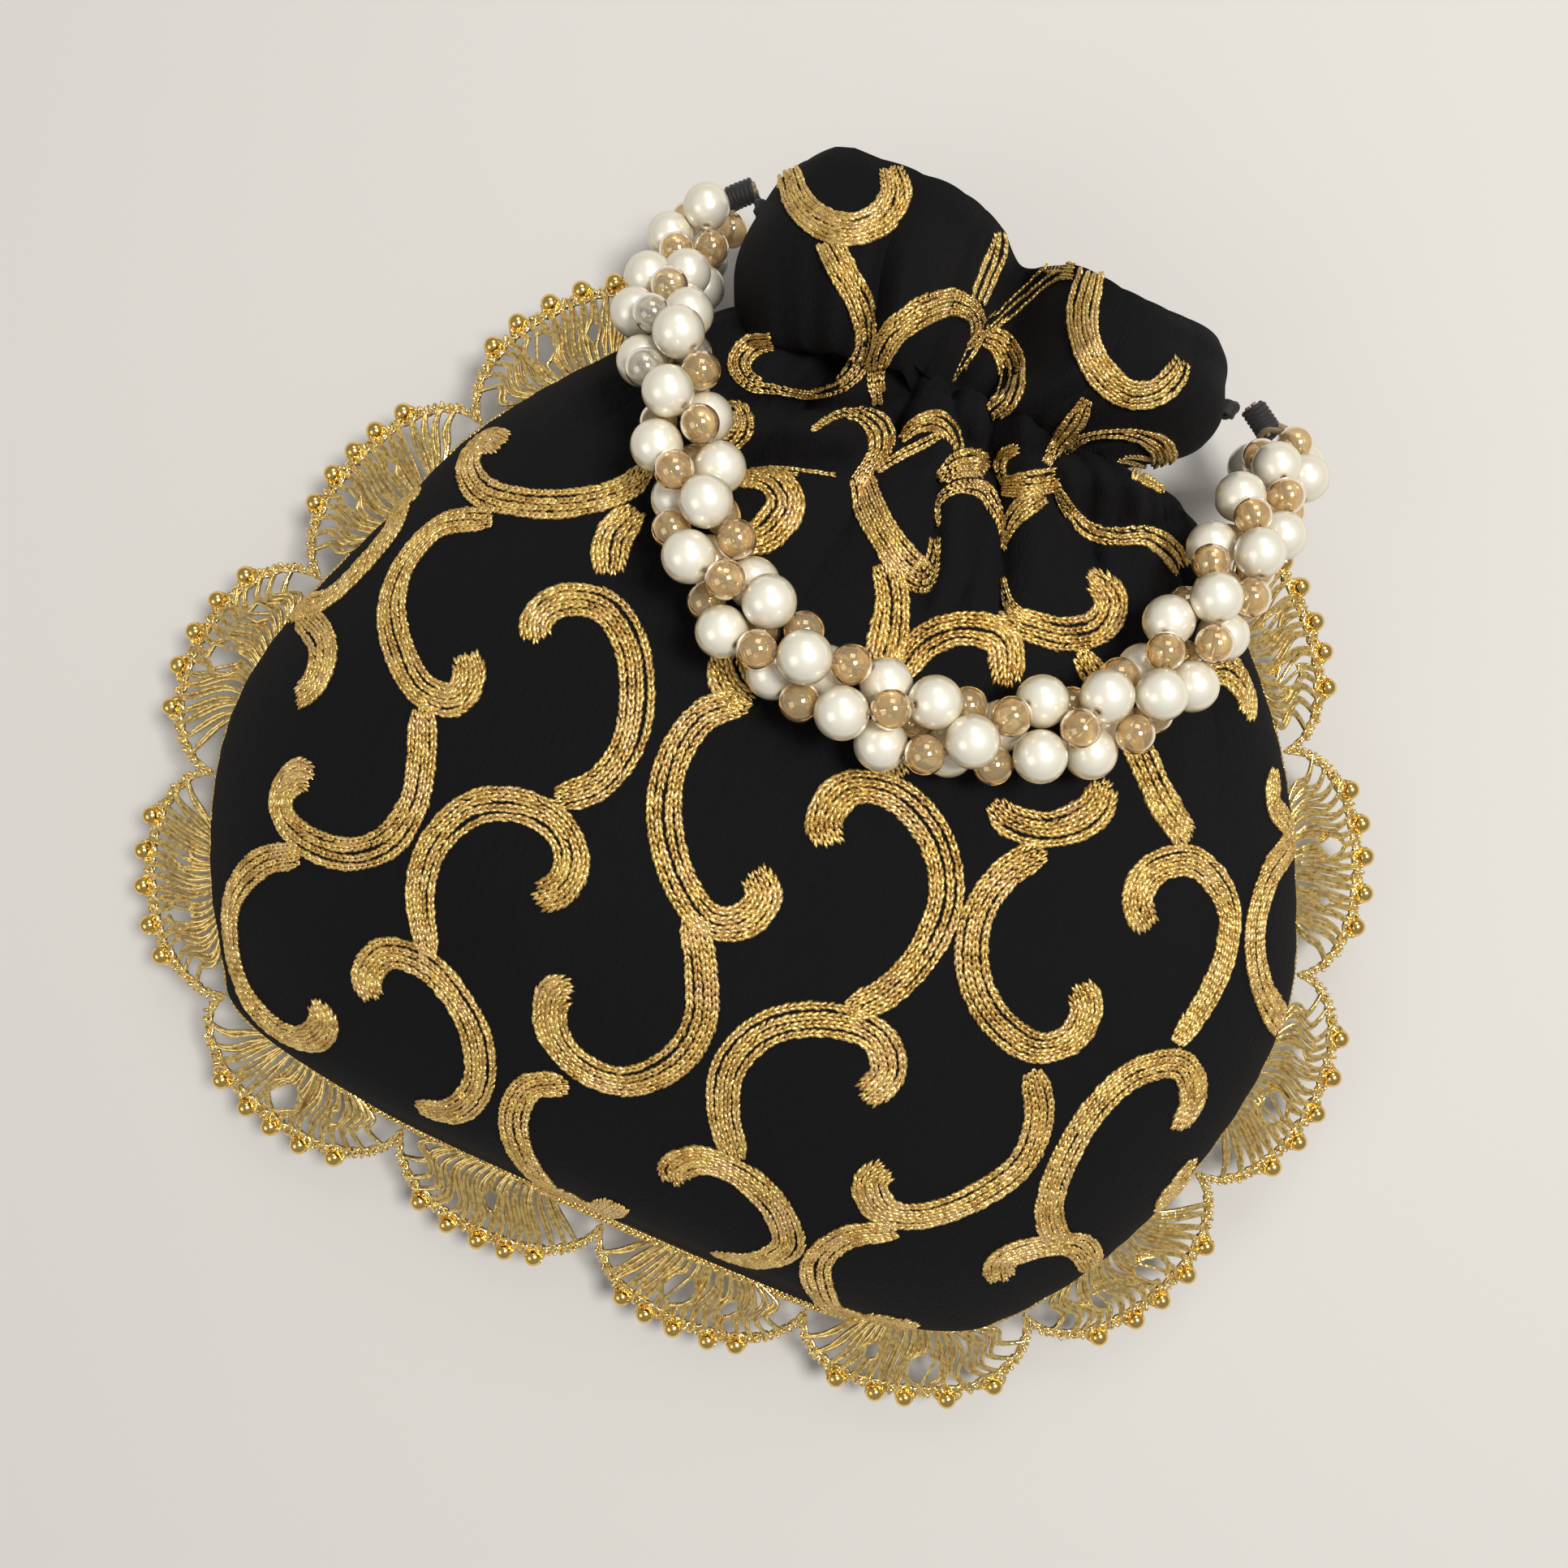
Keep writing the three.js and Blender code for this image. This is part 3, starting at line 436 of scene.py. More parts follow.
def section_at(rows, s):
    """Sections between the rows, blended smoothly along each column."""
    s = np.clip(s, 0, len(rows) - 1.0001)
    i = np.floor(s).astype(int)
    t = (s - i)[:, None]
    last = len(rows) - 1
    p0, p1 = rows[np.maximum(i - 1, 0)], rows[i]
    p2, p3 = rows[np.minimum(i + 1, last)], rows[np.minimum(i + 2, last)]
    m1, m2 = (p2 - p0) * 0.5, (p3 - p1) * 0.5
    t2, t3 = t * t, t * t * t
    return ((2 * t3 - 3 * t2 + 1) * p1 + (t3 - 2 * t2 + t) * m1 + (3 * t2 - 2 * t3) * p2
            + (t3 - t2) * m2)


def soft_step(x, low, high):
    t = np.clip((x - low) / (high - low), 0, 1)
    return t * t * (3 - 2 * t)


def in_view(x, y, z):
    """Where a place in millimetres is seen from above, in the photograph's frame."""
    scale = PHOTO_SIDE / (EYE[2] - z)
    u = PHOTO_SIDE / 2 + (x * EYE_COS + y * EYE_SIN) * scale
    v = PHOTO_SIDE / 2 - (-x * EYE_SIN + y * EYE_COS) * scale
    return u, v


def folded(x, y, z):
    """Height that the folds add to places of the front: soft over a ridge, sharp in a crease."""
    u, v = in_view(x, y, z)
    total = np.zeros_like(u)
    for line, width, height in FOLDS:
        far = np.full_like(u, 1e9)
        for (u0, v0), (u1, v1) in zip(line, line[1:]):
            du, dv = u1 - u0, v1 - v0
            t = np.clip(((u - u0) * du + (v - v0) * dv) / (du * du + dv * dv), 0, 1)
            far = np.minimum(far, np.hypot(u - u0 - t * du, v - v0 - t * dv))
        shape = np.exp(-((far / width) ** 2)) if height > 0 else np.exp(-far / width)
        total = total + height * shape
    return total


def bag_surface(s, u, front, depth, shrink=0.0):
    """Places on the bag for rings s and shares across u; front says which side they are on."""
    sec = section_at(section_rows(), s)
    lx, ly, rx, ry, crown, seam, floor = [sec[:, k][:, None] for k in range(7)]
    u = u[None, :]
    front = front[None, :]
    frill = soft_step(s, *FRILL_RINGS)[:, None]
    in_x = 1 - shrink / (np.hypot(rx - lx, ry - ly) / 2)
    x = (lx + rx) / 2 + (rx - lx) / 2 * u * in_x
    y = (ly + ry) / 2 + (ry - ly) / 2 * u * in_x
    rise = np.maximum(crown - seam, 0.01)
    drop = np.maximum(seam - floor, 0.01)
    in_top = np.maximum(0.3, 1 - shrink / rise)
    in_floor = np.maximum(0.3, 1 - shrink / drop)
    side = np.maximum(0, 1 - np.abs(u) ** PANEL_ROUNDNESS)
    dome = side ** PANEL_FULLNESS
    under = np.minimum(1, 1.25 * side ** 0.6)
    dip = np.exp(-(((u - VALLEY_PLACE) / VALLEY_WIDTH) ** 2))
    lobes = np.sqrt(np.maximum(0, 1 - u ** 4)) * (1 - 0.8 * dip)
    back_lobes = under * (0.82 + 0.18 * np.cos(3 * np.pi * u))
    top = dome * (1 - frill) + lobes * frill
    bottom = under * (1 - frill) + back_lobes * frill
    z_front = seam + rise * top * in_top
    z_back = seam - drop * bottom * in_floor
    # Pleats that run out from the drawn neck, broad on their crowns and sharp in their valleys
    wander = 0.55 * np.sin(3.1 * u + 0.4) + 0.3 * np.sin(7.3 * u + 1.7)
    turn = np.pi * 6.5 * u + wander
    pleat = 2 * np.abs(np.cos(turn / 2)) ** 0.75 - 1
    size = 0.75 + 0.35 * np.sin(4.3 * u + 2.1) + 0.2 * np.sin(11.0 * u)
    fade = np.exp(-(((NECK_Y - y) / 46) ** 2) * 2.5)
    edge = 1 - np.abs(u) ** 4
    fine = np.cos(np.pi * 16 * u + 2 * wander) * np.exp(-(((NECK_Y + 6 - y) / 15) ** 2))
    fold = edge * (depth * size * fade * pleat + 0.9 * fine)
    # Short puckers in from the seam, and slack waves over the panel
    rim = np.exp(-((1 - np.abs(u)) / 0.05))
    pucker = 0.35 * rim * np.sin(y * 0.95 + 2.2 * np.sin(y * 0.13)) * (1 - frill)
    slack = 0.55 * np.sin(x * 0.061 + y * 0.043 + 1.1) * np.sin(y * 0.052 - x * 0.031)
    slack = slack * (1 - np.abs(u) ** 3)
    groove = -5.0 * np.exp(-(((s - GROOVE_RING) / 0.55) ** 2))[:, None] * (0.35 + 0.65 * dip) * edge
    hem = soft_step(s, *HEM_RINGS)[:, None]
    hem_line = np.interp(u, *np.array(HEM, float).T)
    y = y + hem * np.where(front, hem_line, 0.3 * hem_line)
    wave = 0.8 * hem * np.sin(13 * u + 0.7) * edge
    full = 1.0 if shrink == 0 else 0.6
    z_front = z_front + full * (fold + groove + slack) + pucker + wave
    z_front = z_front + full * edge * folded(x, y, z_front)
    z_back = z_back + np.where(floor > 4, 0.6 * fold, 0) + 0.3 * pucker
    z = np.where(front, z_front, z_back)
    z = np.where(np.abs(u) > 0.9999, seam, z)
    return np.stack([x, y, np.maximum(z, 0)], axis=2)


def seam_line():
    rows = section_rows()[:len(BODY_SECTIONS) - 2]
    left = rows[::-1][:, [0, 1, 5]]
    right = rows[:, [2, 3, 5]]
    return smooth_line(np.vstack([left, right]), 0.5)


def strand_thread(number):
    """Middle line of one of the handle's threads, which wind round the route together."""
    route, length = smooth_line(np.array(HANDLE_ROUTE) / MM, 1.0)
    way = directions(route)
    side = unit(np.cross(way, [0, 0, 1]))
    over = np.cross(side, way)
    run = np.linspace(0, length, len(route))
    turn = 2 * np.pi * run / HANDLE_LAY + number / STRAND_COUNT * 2 * np.pi
    spread = soft_step(np.minimum(run, length - run), STRAND_BOUND, STRAND_LEAD + STRAND_BOUND)
    bound = STRAND_THREAD * 0.6
    offset = bound + (STRAND_OFFSET - bound) * spread
    return route + side * (offset * np.cos(turn))[:, None] + over * (offset * np.sin(turn))[:, None]


# Meshes


def placed(name, data):
    obj = bpy.data.objects.new(name, data)
    bpy.context.scene.collection.objects.link(obj)
    return obj


def new_piece(name, verts, faces, smooth=True):
    mesh = bpy.data.meshes.new(name)
    mesh.from_pydata([tuple(v) for v in verts], [], faces)
    mesh.update()
    if smooth:
        mesh.polygons.foreach_set("use_smooth", [True] * len(mesh.polygons))
    return placed(name, mesh)


def grid_faces(rings, count):
    """Quads between neighbouring closed rings."""
    r, i = np.meshgrid(np.arange(rings - 1), np.arange(count), indexing="ij")
    a = r * count + i
    b = r * count + (i + 1) % count
    return np.stack([a, a + count, b + count, b], axis=2).reshape(-1, 4).tolist()


def lathe(name, profile, segments):
    """Closed ring shape round Z from a closed profile of (radius, height) pairs."""
    turn = np.linspace(0, 2 * np.pi, segments, endpoint=False)
    verts = [(r * math.cos(t), r * math.sin(t), z) for t in turn for r, z in profile]
    n = len(profile)
    faces = []
    for k in range(segments):
        for i in range(n):
            a, b = k * n + i, k * n + (i + 1) % n
            c, d = ((k + 1) % segments) * n + (i + 1) % n, ((k + 1) % segments) * n + i
            faces.append([a, d, c, b])
    return new_piece(name, verts, faces)


def bead_shape(name, diameter, bore, segments, steps):
    """Ball with a hole through it along Z."""
    radius = diameter / 2
    tilt = math.asin(bore / 2 / radius)
    angles = np.linspace(tilt, math.pi - tilt, steps)
    profile = [(radius * math.sin(a), radius * math.cos(a)) for a in angles]
    wall = bore / 2 - bore * 0.06
    profile += [(wall, -radius * math.cos(tilt) * 0.97), (wall, 0),
                (wall, radius * math.cos(tilt) * 0.97)]
    return lathe(name, profile, segments)


# Geometry node trees


def tree_of(name, sockets):
    tree = bpy.data.node_groups.new(name, "GeometryNodeTree")
    tree.interface.new_socket("Geometry", in_out="INPUT", socket_type="NodeSocketGeometry")
    for label, kind, default in sockets:
        socket = tree.interface.new_socket(label, in_out="INPUT", socket_type=kind)
        if default is not None:
            socket.default_value = default
    tree.interface.new_socket("Geometry", in_out="OUTPUT", socket_type="NodeSocketGeometry")
    return tree


def add_node(tree, kind, settings=None, **values):
    """A node with its settings, and values or links for its sockets by name or number."""
    node = tree.nodes.new(kind)
    for key, value in (settings or {}).items():
        setattr(node, key, value)
    for key, value in values.items():
        numbered = key[0] == "_" and key[1:].isdigit()
        socket = node.inputs[int(key[1:]) if numbered else key]
        if isinstance(value, bpy.types.NodeSocket):
            tree.links.new(value, socket)
        else:
            socket.default_value = value
    return node


def carried(tree, name, kind="FLOAT_VECTOR"):
    """A named value that the points carry."""
    node = add_node(tree, "GeometryNodeInputNamedAttribute", {"data_type": kind}, Name=name)
    return node.outputs[0]


def product(tree, a, b):
    return add_node(tree, "ShaderNodeMath", {"operation": "MULTIPLY"}, _0=a, _1=b).outputs[0]


def stitch_tree():
    """Lays a two-legged chain stitch on every point, along its 'along' and facing its 'up'."""
    tree = tree_of("chain_stitches", [
        ("Length", "NodeSocketFloat", 2.2 * MM), ("Width", "NodeSocketFloat", 1.4 * MM),
        ("Thread", "NodeSocketFloat", 0.74 * MM), ("Seed", "NodeSocketInt", 3),
        ("Finish", "NodeSocketMaterial", None)])
    io = add_node(tree, "NodeGroupInput")
    pair = add_node(tree, "GeometryNodeJoinGeometry")
    for sign in (1, -1):
        ball = add_node(tree, "GeometryNodeMeshUVSphere", Segments=5, Rings=4, Radius=0.5)
        size = add_node(tree, "ShaderNodeCombineXYZ", X=io.outputs["Length"],
                        Y=io.outputs["Thread"], Z=io.outputs["Thread"])
        shift = product(tree, io.outputs["Width"], 0.25 * sign)
        place = add_node(tree, "ShaderNodeCombineXYZ", Y=shift)
        leg = add_node(tree, "GeometryNodeTransform", Geometry=ball.outputs[0],
                       Scale=size.outputs[0], Translation=place.outputs[0],
                       Rotation=(0, math.radians(7), math.radians(13) * sign))
        tree.links.new(leg.outputs[0], pair.inputs[0])
    axes = {"primary_axis": "X", "secondary_axis": "Z"}
    turn = add_node(tree, "FunctionNodeAxesToRotation", axes,
                    _0=carried(tree, "along"), _1=carried(tree, "up"))
    uneven = value_of(tree, 0.88, 1.14, io.outputs["Seed"])
    size = product(tree, carried(tree, "room", "FLOAT"), uneven)
    laid = add_node(tree, "GeometryNodeInstanceOnPoints", Points=io.outputs[0],
                    Instance=pair.outputs[0], Rotation=turn.outputs[0], Scale=size)
    finish_tree(tree, laid.outputs[0], io, tinted=True)
    return tree


def thread_tree():
    """Gives every curve a round thread."""
    tree = tree_of("lace_threads", [
        ("Thread", "NodeSocketFloat", 0.6 * MM), ("Sides", "NodeSocketInt", 5),
        ("Finish", "NodeSocketMaterial", None)])
    io = add_node(tree, "NodeGroupInput")
    ring = add_node(tree, "GeometryNodeCurvePrimitiveCircle", Resolution=io.outputs["Sides"],
                    Radius=product(tree, io.outputs["Thread"], 0.5))
    tube = add_node(tree, "GeometryNodeCurveToMesh", Curve=io.outputs[0],
                    **{"Profile Curve": ring.outputs[0], "Fill Caps": True})
    finish_tree(tree, tube.outputs[0], io)
    return tree


def bead_tree():
    """Strings a bead on every point, with its hole along the point's 'along'."""
    tree = tree_of("strung_beads", [
        ("Bead", "NodeSocketObject", None), ("Seed", "NodeSocketInt", 5),
        ("Finish", "NodeSocketMaterial", None)])
    io = add_node(tree, "NodeGroupInput")
    bead = add_node(tree, "GeometryNodeObjectInfo", Object=io.outputs["Bead"])
    turn = add_node(tree, "FunctionNodeAlignRotationToVector", {"axis": "Z"},
                    Vector=carried(tree, "along"))
    size = value_of(tree, 0.97, 1.0, io.outputs["Seed"])
    laid = add_node(tree, "GeometryNodeInstanceOnPoints", Points=io.outputs[0],
                    Instance=bead.outputs["Geometry"], Rotation=turn.outputs[0], Scale=size)
    finish_tree(tree, laid.outputs[0], io, tinted=True)
    return tree


def value_of(tree, low, high, seed):
    """A random value for every point, between two limits."""
    node = add_node(tree, "FunctionNodeRandomValue", {"data_type": "FLOAT"}, Seed=seed)
    for socket in node.inputs:
        if socket.type == "VALUE" and socket.name in ("Min", "Max"):
            socket.default_value = low if socket.name == "Min" else high
    return next(socket for socket in node.outputs if socket.type == "VALUE")


def finish_tree(tree, geometry, io, tinted=False):
    """Ends a tree: a tint for every instance where wanted, then plain geometry with its finish."""
    if tinted:
        tint = value_of(tree, 0.0, 1.0, 11)
        named = add_node(tree, "GeometryNodeStoreNamedAttribute",
                         {"data_type": "FLOAT", "domain": "INSTANCE"}, Geometry=geometry,
                         Name="tint", Value=tint)
        geometry = named.outputs[0]
    smooth = add_node(tree, "GeometryNodeSetShadeSmooth", Geometry=geometry)
    real = add_node(tree, "GeometryNodeRealizeInstances", Geometry=smooth.outputs[0])
    finish = add_node(tree, "GeometryNodeSetMaterial", Geometry=real.outputs[0],
                      Material=io.outputs["Finish"])
    out = add_node(tree, "NodeGroupOutput")
    tree.links.new(finish.outputs[0], out.inputs[0])


def grown(name, source, tree, finish, **values):
    """Runs a node tree on an object and keeps the result as a plain mesh piece."""
    modifier = source.modifiers.new("nodes", "NODES")
    modifier.node_group = tree
    values = {label.replace("_", " "): value for label, value in values.items()}
    values["Finish"] = finish
    for item in tree.interface.items_tree:
        if item.in_out == "INPUT" and item.name in values:
            modifier[item.identifier] = values[item.name]
    source.update_tag()
    bpy.context.view_layer.update()
    shown = source.evaluated_get(bpy.context.evaluated_depsgraph_get())
    mesh = bpy.data.meshes.new_from_object(shown)
    mesh.name = name
    source.modifiers.remove(modifier)
    bpy.data.objects.remove(source)
    if not mesh.polygons:
        raise RuntimeError(f"{name} came out empty")
    if not mesh.materials:
        mesh.materials.append(finish)
    return placed(name, mesh)


def point_cloud(name, places, **values):
    """Loose points in metres that carry named directions or sizes."""
    mesh = bpy.data.meshes.new(name)
    mesh.from_pydata([tuple(p) for p in places], [], [])
    for label, rows in values.items():
        rows = np.asarray(rows, float)
        kind, field = ("FLOAT", "value") if rows.ndim == 1 else ("FLOAT_VECTOR", "vector")
        data = mesh.attributes.new(label, kind, "POINT")
        data.data.foreach_set(field, rows.ravel())
    return placed(name, mesh)


def thread_curves(name, lines):
    """Open poly curves in metres, one for each line."""
    curve = bpy.data.curves.new(name, "CURVE")
    curve.dimensions = "3D"
    for line in lines:
        spline = curve.splines.new("POLY")
        spline.points.add(len(line) - 1)
        spline.points.foreach_set("co", np.hstack([line, np.ones((len(line), 1))]).ravel())
    return placed(name, curve)


# Finishes


class Level:
    """A value in a finish's node tree, on which sums are written as usual."""

    def __init__(self, tree, socket):
        self.tree = tree
        self.socket = socket

    def _sum(self, operation, a, b):
        node = self.tree.nodes.new("ShaderNodeMath")
        node.operation = operation
        for socket, value in zip(node.inputs, (a, b)):
            if isinstance(value, Level):
                self.tree.links.new(value.socket, socket)
            else:
                socket.default_value = value
        return Level(self.tree, node.outputs[0])

    def __add__(self, other):
        return self._sum("ADD", self, other)

    def __sub__(self, other):
        return self._sum("SUBTRACT", self, other)

    def __mul__(self, other):
        return self._sum("MULTIPLY", self, other)


class Finish:
    """A material with one Principled shader and the nodes that vary it."""

    def __init__(self, name, **constants):
        self.material = bpy.data.materials.new(name)
        self.material.use_nodes = True
        self.tree = self.material.node_tree
        self.tree.nodes.clear()
        self.shader = self.tree.nodes.new("ShaderNodeBsdfPrincipled")
        out = self.tree.nodes.new("ShaderNodeOutputMaterial")
        self.tree.links.new(self.shader.outputs[0], out.inputs[0])
        for key, value in constants.items():
            self.shader.inputs[key.replace("_", " ")].default_value = value

    def node(self, kind, settings=None, inputs=None, out=0):
        node = self.tree.nodes.new(kind)
        for key, value in (settings or {}).items():
            if key == "stops":
                while len(node.color_ramp.elements) < len(value):
                    node.color_ramp.elements.new(0.5)
                for element, (place, colour) in zip(node.color_ramp.elements, value):
                    element.position = place
                    element.color = (*colour, 1)
            else:
                setattr(node, key, value)
        for key, value in (inputs or {}).items():
            if isinstance(value, Level):
                self.tree.links.new(value.socket, node.inputs[key])
            else:
                node.inputs[key].default_value = value
        return Level(self.tree, node.outputs[out])

    def place(self, scale=(1, 1, 1)):
        where = self.node("ShaderNodeTexCoord", out="Object")
        return self.node("ShaderNodeMapping", inputs={"Vector": where, "Scale": scale})

    def noise(self, scale, detail=2.0, rough=0.5, stretch=(1, 1, 1)):
        return self.node("ShaderNodeTexNoise", inputs={
            "Vector": self.place(stretch), "Scale": scale, "Detail": detail, "Roughness": rough})

    def ramp(self, value, *stops):
        return self.node("ShaderNodeValToRGB", {"stops": stops}, {"Fac": value})

    def mix(self, factor, a, b):
        node = self.tree.nodes.new("ShaderNodeMix")
        node.data_type = "RGBA"
        for socket, value in zip((node.inputs[0], node.inputs[6], node.inputs[7]), (factor, a, b)):
            if isinstance(value, Level):
                self.tree.links.new(value.socket, socket)
            else:
                socket.default_value = value if not isinstance(value, tuple) else (*value, 1)[:4]
        return Level(self.tree, node.outputs[2])

    def bump(self, height, distance, strength=1.0):
        return self.node("ShaderNodeBump", inputs={
            "Height": height, "Distance": distance, "Strength": strength})

    def feed(self, name, value):
        self.tree.links.new(value.socket, self.shader.inputs[name])


def crepe_finish(colours):
    """Matt black crepe: long fine crinkles down the cloth over a tiny pebbled weave, with painted
    highlight on the crinkles.
    """
    f = Finish("black_crepe", Roughness=0.9, Sheen_Weight=0.015, Sheen_Roughness=0.5,
               Sheen_Tint=(0.6, 0.6, 0.65, 1), Specular_IOR_Level=0.1)
    crinkle = f.noise(1.0, 3.0, 0.6, (1400, 150, 1400))
    weave = f.noise(1.0, 1.0, 0.5, (2600, 2600, 2600))
    drift = f.noise(1.0, 2.0, 0.5, (60, 22, 60))
    # Painted highlight: the black turns paler where the crinkles stand high, while the slow drift
    # is a random change of tone.
    pale = tuple(c * 2.4 for c in colours.cloth)
    f.feed("Base Color", f.mix(crinkle * 0.7 + drift * 0.3, tuple(colours.cloth), pale))
    f.feed("Roughness", crinkle * 0.12 + 0.82)
    f.feed("Normal", f.bump(crinkle * 0.8 + weave * 0.35, 0.55 * MM, 0.9))
    return f.material


def zari_finish(colours):
    """Glittering gold thread, each stitch a random tone between painted shade and painted
    highlight, with painted glints, and rosier here and there.
    """
    f = Finish("gold_zari", Metallic=0.72, Roughness=0.36, Specular_IOR_Level=0.7)
    tint = f.node("ShaderNodeAttribute", {"attribute_name": "tint"}, out="Fac")
    patch = f.noise(130.0, 2.0, 0.6)
    glint = f.noise(2400.0, 1.0)
    spark = f.node("ShaderNodeTexVoronoi", {"feature": "F1"},
                   {"Vector": f.place(), "Scale": 1500.0}, out="Color")
    # Painted shade and painted highlight: each stitch takes a random tone between the two golds,
    # and the glint noise paints small glints over it.
    base = f.mix(tint * 0.75 + glint * 0.7 - 0.2,
                 tuple(colours.painted_shade_gold), tuple(colours.pale_gold_and_painted_highlight))
    rose = f.ramp(patch, (0.5, (0, 0, 0)), (0.64, (1, 1, 1)))
    f.feed("Base Color", f.mix(rose * 0.45, base, tuple(colours.gold_rose)))
    f.feed("Roughness", glint * 0.3 + 0.12)
    f.feed("Normal", f.bump(spark * 0.6 + glint * 0.6, 0.3 * MM, 1.0))
    return f.material


def lace_finish(colours):
    """Polished gold thread, laid in a fine twist, with painted shade in patches along the twist."""
    f = Finish("gold_lace_thread", Metallic=0.88, Roughness=0.14, Specular_IOR_Level=0.8)
    twist = f.noise(950.0, 1.0)
    drift = f.noise(160.0, 2.0, 0.6)
    light = f.mix(drift * 0.5, (1.0, 0.79, 0.34), tuple(colours.pale_gold_and_painted_highlight))
    # Painted shade: the twist noise darkens the thread in patches towards the dark gold.
    shade = f.ramp(twist, (0.4, (1, 1, 1)), (0.54, (0, 0, 0)))
    f.feed("Base Color", f.mix(shade * 0.5, light, tuple(colours.painted_shade_gold)))
    f.feed("Roughness", twist * 0.16 + 0.08)
    f.feed("Normal", f.bump(twist, 0.25 * MM, 0.6))
    return f.material


def ball_finish(colours):
    f = Finish("polished_gold_ball", Metallic=1.0, Roughness=0.16)
    haze = f.noise(500.0)
    f.feed("Base Color", f.mix(haze * 0.5, (0.86, 0.56, 0.16), tuple(colours.pale_gold_and_painted_highlight)))
    f.feed("Roughness", haze * 0.12 + 0.1)
    return f.material


def pearl_finish(colours):
    """Ivory pearl with a clear coat: painted shade makes it greyer and greener towards its rim, so
    that it looks lustrous in the middle.
    """
    f = Finish("ivory_pearl", Metallic=0.3, Roughness=0.3, Coat_Weight=1.0, Coat_Roughness=0.1,
               Specular_IOR_Level=0.7)
    drift = f.noise(210.0)
    # Painted shade: towards the rim, where the surface turns from the eye, the ivory darkens to
    # greyer and greener.
    rim = f.node("ShaderNodeLayerWeight", inputs={"Blend": 0.45}, out="Facing")
    edge = tuple(c * k for c, k in zip(colours.pearl, (0.68, 0.64, 0.50)))
    f.feed("Base Color", f.mix(rim * 1.1 - 0.12 + drift * 0.12, tuple(colours.pearl), edge))
    f.feed("Roughness", drift * 0.1 + 0.24)
    return f.material


def glass_finish(colours):
    """Champagne lustre glass with painted amber shade at its rim; a few beads are nearly
    colourless.
    """
    f = Finish("champagne_glass", Metallic=0.2, Roughness=0.04, IOR=1.13, Transmission_Weight=0.8,
               Coat_Weight=1.0, Coat_Roughness=0.04)
    tint = f.node("ShaderNodeAttribute", {"attribute_name": "tint"}, out="Fac")
    clear = f.ramp(tint, (0.8, (0, 0, 0)), (0.86, (1, 1, 1)))
    rim = f.node("ShaderNodeLayerWeight", inputs={"Blend": 0.36}, out="Facing")
    haze = f.noise(320.0)
    # Painted shade: towards the rim, where the surface turns from the eye, the champagne darkens to
    # amber.
    painted_rim_shade = tuple(c * k for c, k in zip(colours.glass, (0.78, 0.55, 0.36)))
    shade = f.mix(rim * 1.2 - 0.1, tuple(colours.glass), painted_rim_shade)
    f.feed("Base Color", f.mix(clear * 0.75, shade, (0.8, 0.8, 0.77)))
    f.feed("Roughness", haze * 0.06 + 0.02)
    return f.material


def thread_finish(name, colour):
    f = Finish(name, Roughness=0.7, Sheen_Weight=0.2)
    twist = f.noise(1500.0, 1.0)
    f.feed("Base Color", f.mix(twist, tuple(colour), tuple(c * 0.7 for c in colour)))
    f.feed("Normal", f.bump(twist, 0.1 * MM, 0.5))
    return f.material


# Operators


def settle(piece, slot, *nodes):
    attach(piece, "root")
    if nodes:
        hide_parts(*nodes)
    return piece


class POTLI_OT_bag(bpy.types.Operator):
    """Loft the stuffed bag with its gathers and open frill"""

    bl_idname = "potli.bag"
    bl_label = "Bag"

    def execute(self, context):
        sizes = context.scene.potli_sizes
        coarse = 1
        front, back = FRONT_POINTS // coarse, BACK_POINTS // coarse
        half = np.concatenate([np.arange(front) / front, 1 - np.arange(back) / back])
        u = 0.45 * np.cos(half * np.pi) + 0.55 * (1 - 2 * half)
        is_front = np.arange(front + back) < front
        is_front[0] = False
        last = len(BODY_SECTIONS) + len(FRILL_SECTIONS) - 1
        s = [np.linspace(low, high, rings // coarse, endpoint=False)
             for low, high, rings in RING_RUNS]
        s = np.concatenate([*s, np.linspace(RING_RUNS[-1][1], last, TOP_RING_COUNT // coarse)])
        depth = sizes.gather_depth / MM
        outer = bag_surface(s, u, is_front, depth)
        inner_s = np.linspace(last, last - INNER_RINGS, INNER_RING_COUNT // coarse)
        inner = bag_surface(inner_s, u, is_front, depth, sizes.cloth_thickness / MM)
        rings = np.concatenate([outer, inner])
        count = front + back
        faces = grid_faces(len(rings), count)
        verts = rings.reshape(-1, 3) * MM
        ends = np.array([rings[0].mean(axis=0), rings[-1].mean(axis=0)]) * MM
        verts = np.vstack([verts, ends])
        first = (len(rings) - 1) * count
        for i in range(count):
            j = (i + 1) % count
            faces.append([i, j, len(verts) - 2])
            faces.append([first + i, len(verts) - 1, first + j])
        bag = new_piece("crepe_bag", verts, faces)
        bag.data.materials.append(crepe_finish(context.scene.potli_colours))
        settle(bag, "black_cloth", "pouch")
        made["cloth"] = BVHTree.FromPolygons([tuple(v) for v in verts], faces)
        return {"FINISHED"}


def seen(u, v):
    """Place and facing of the cloth that shows at a place of the photograph's frame, or just
    inwards of it where that place is past the bag's outline."""
    for pull in range(EDGE_TRIES):
        k = 1 - EDGE_PULL * pull
        a = (u - PHOTO_SIDE / 2) * k / PHOTO_SIDE
        b = -(v - PHOTO_SIDE / 2) * k / PHOTO_SIDE
        way = Vector((a * EYE_COS - b * EYE_SIN, a * EYE_SIN + b * EYE_COS, -1)).normalized()
        spot, normal, _, _ = made["cloth"].ray_cast(Vector(EYE * MM), way)
        if spot is not None:
            return np.array(spot) / MM, np.array(normal)
    raise RuntimeError(f"no cloth is seen at {u}, {v}")


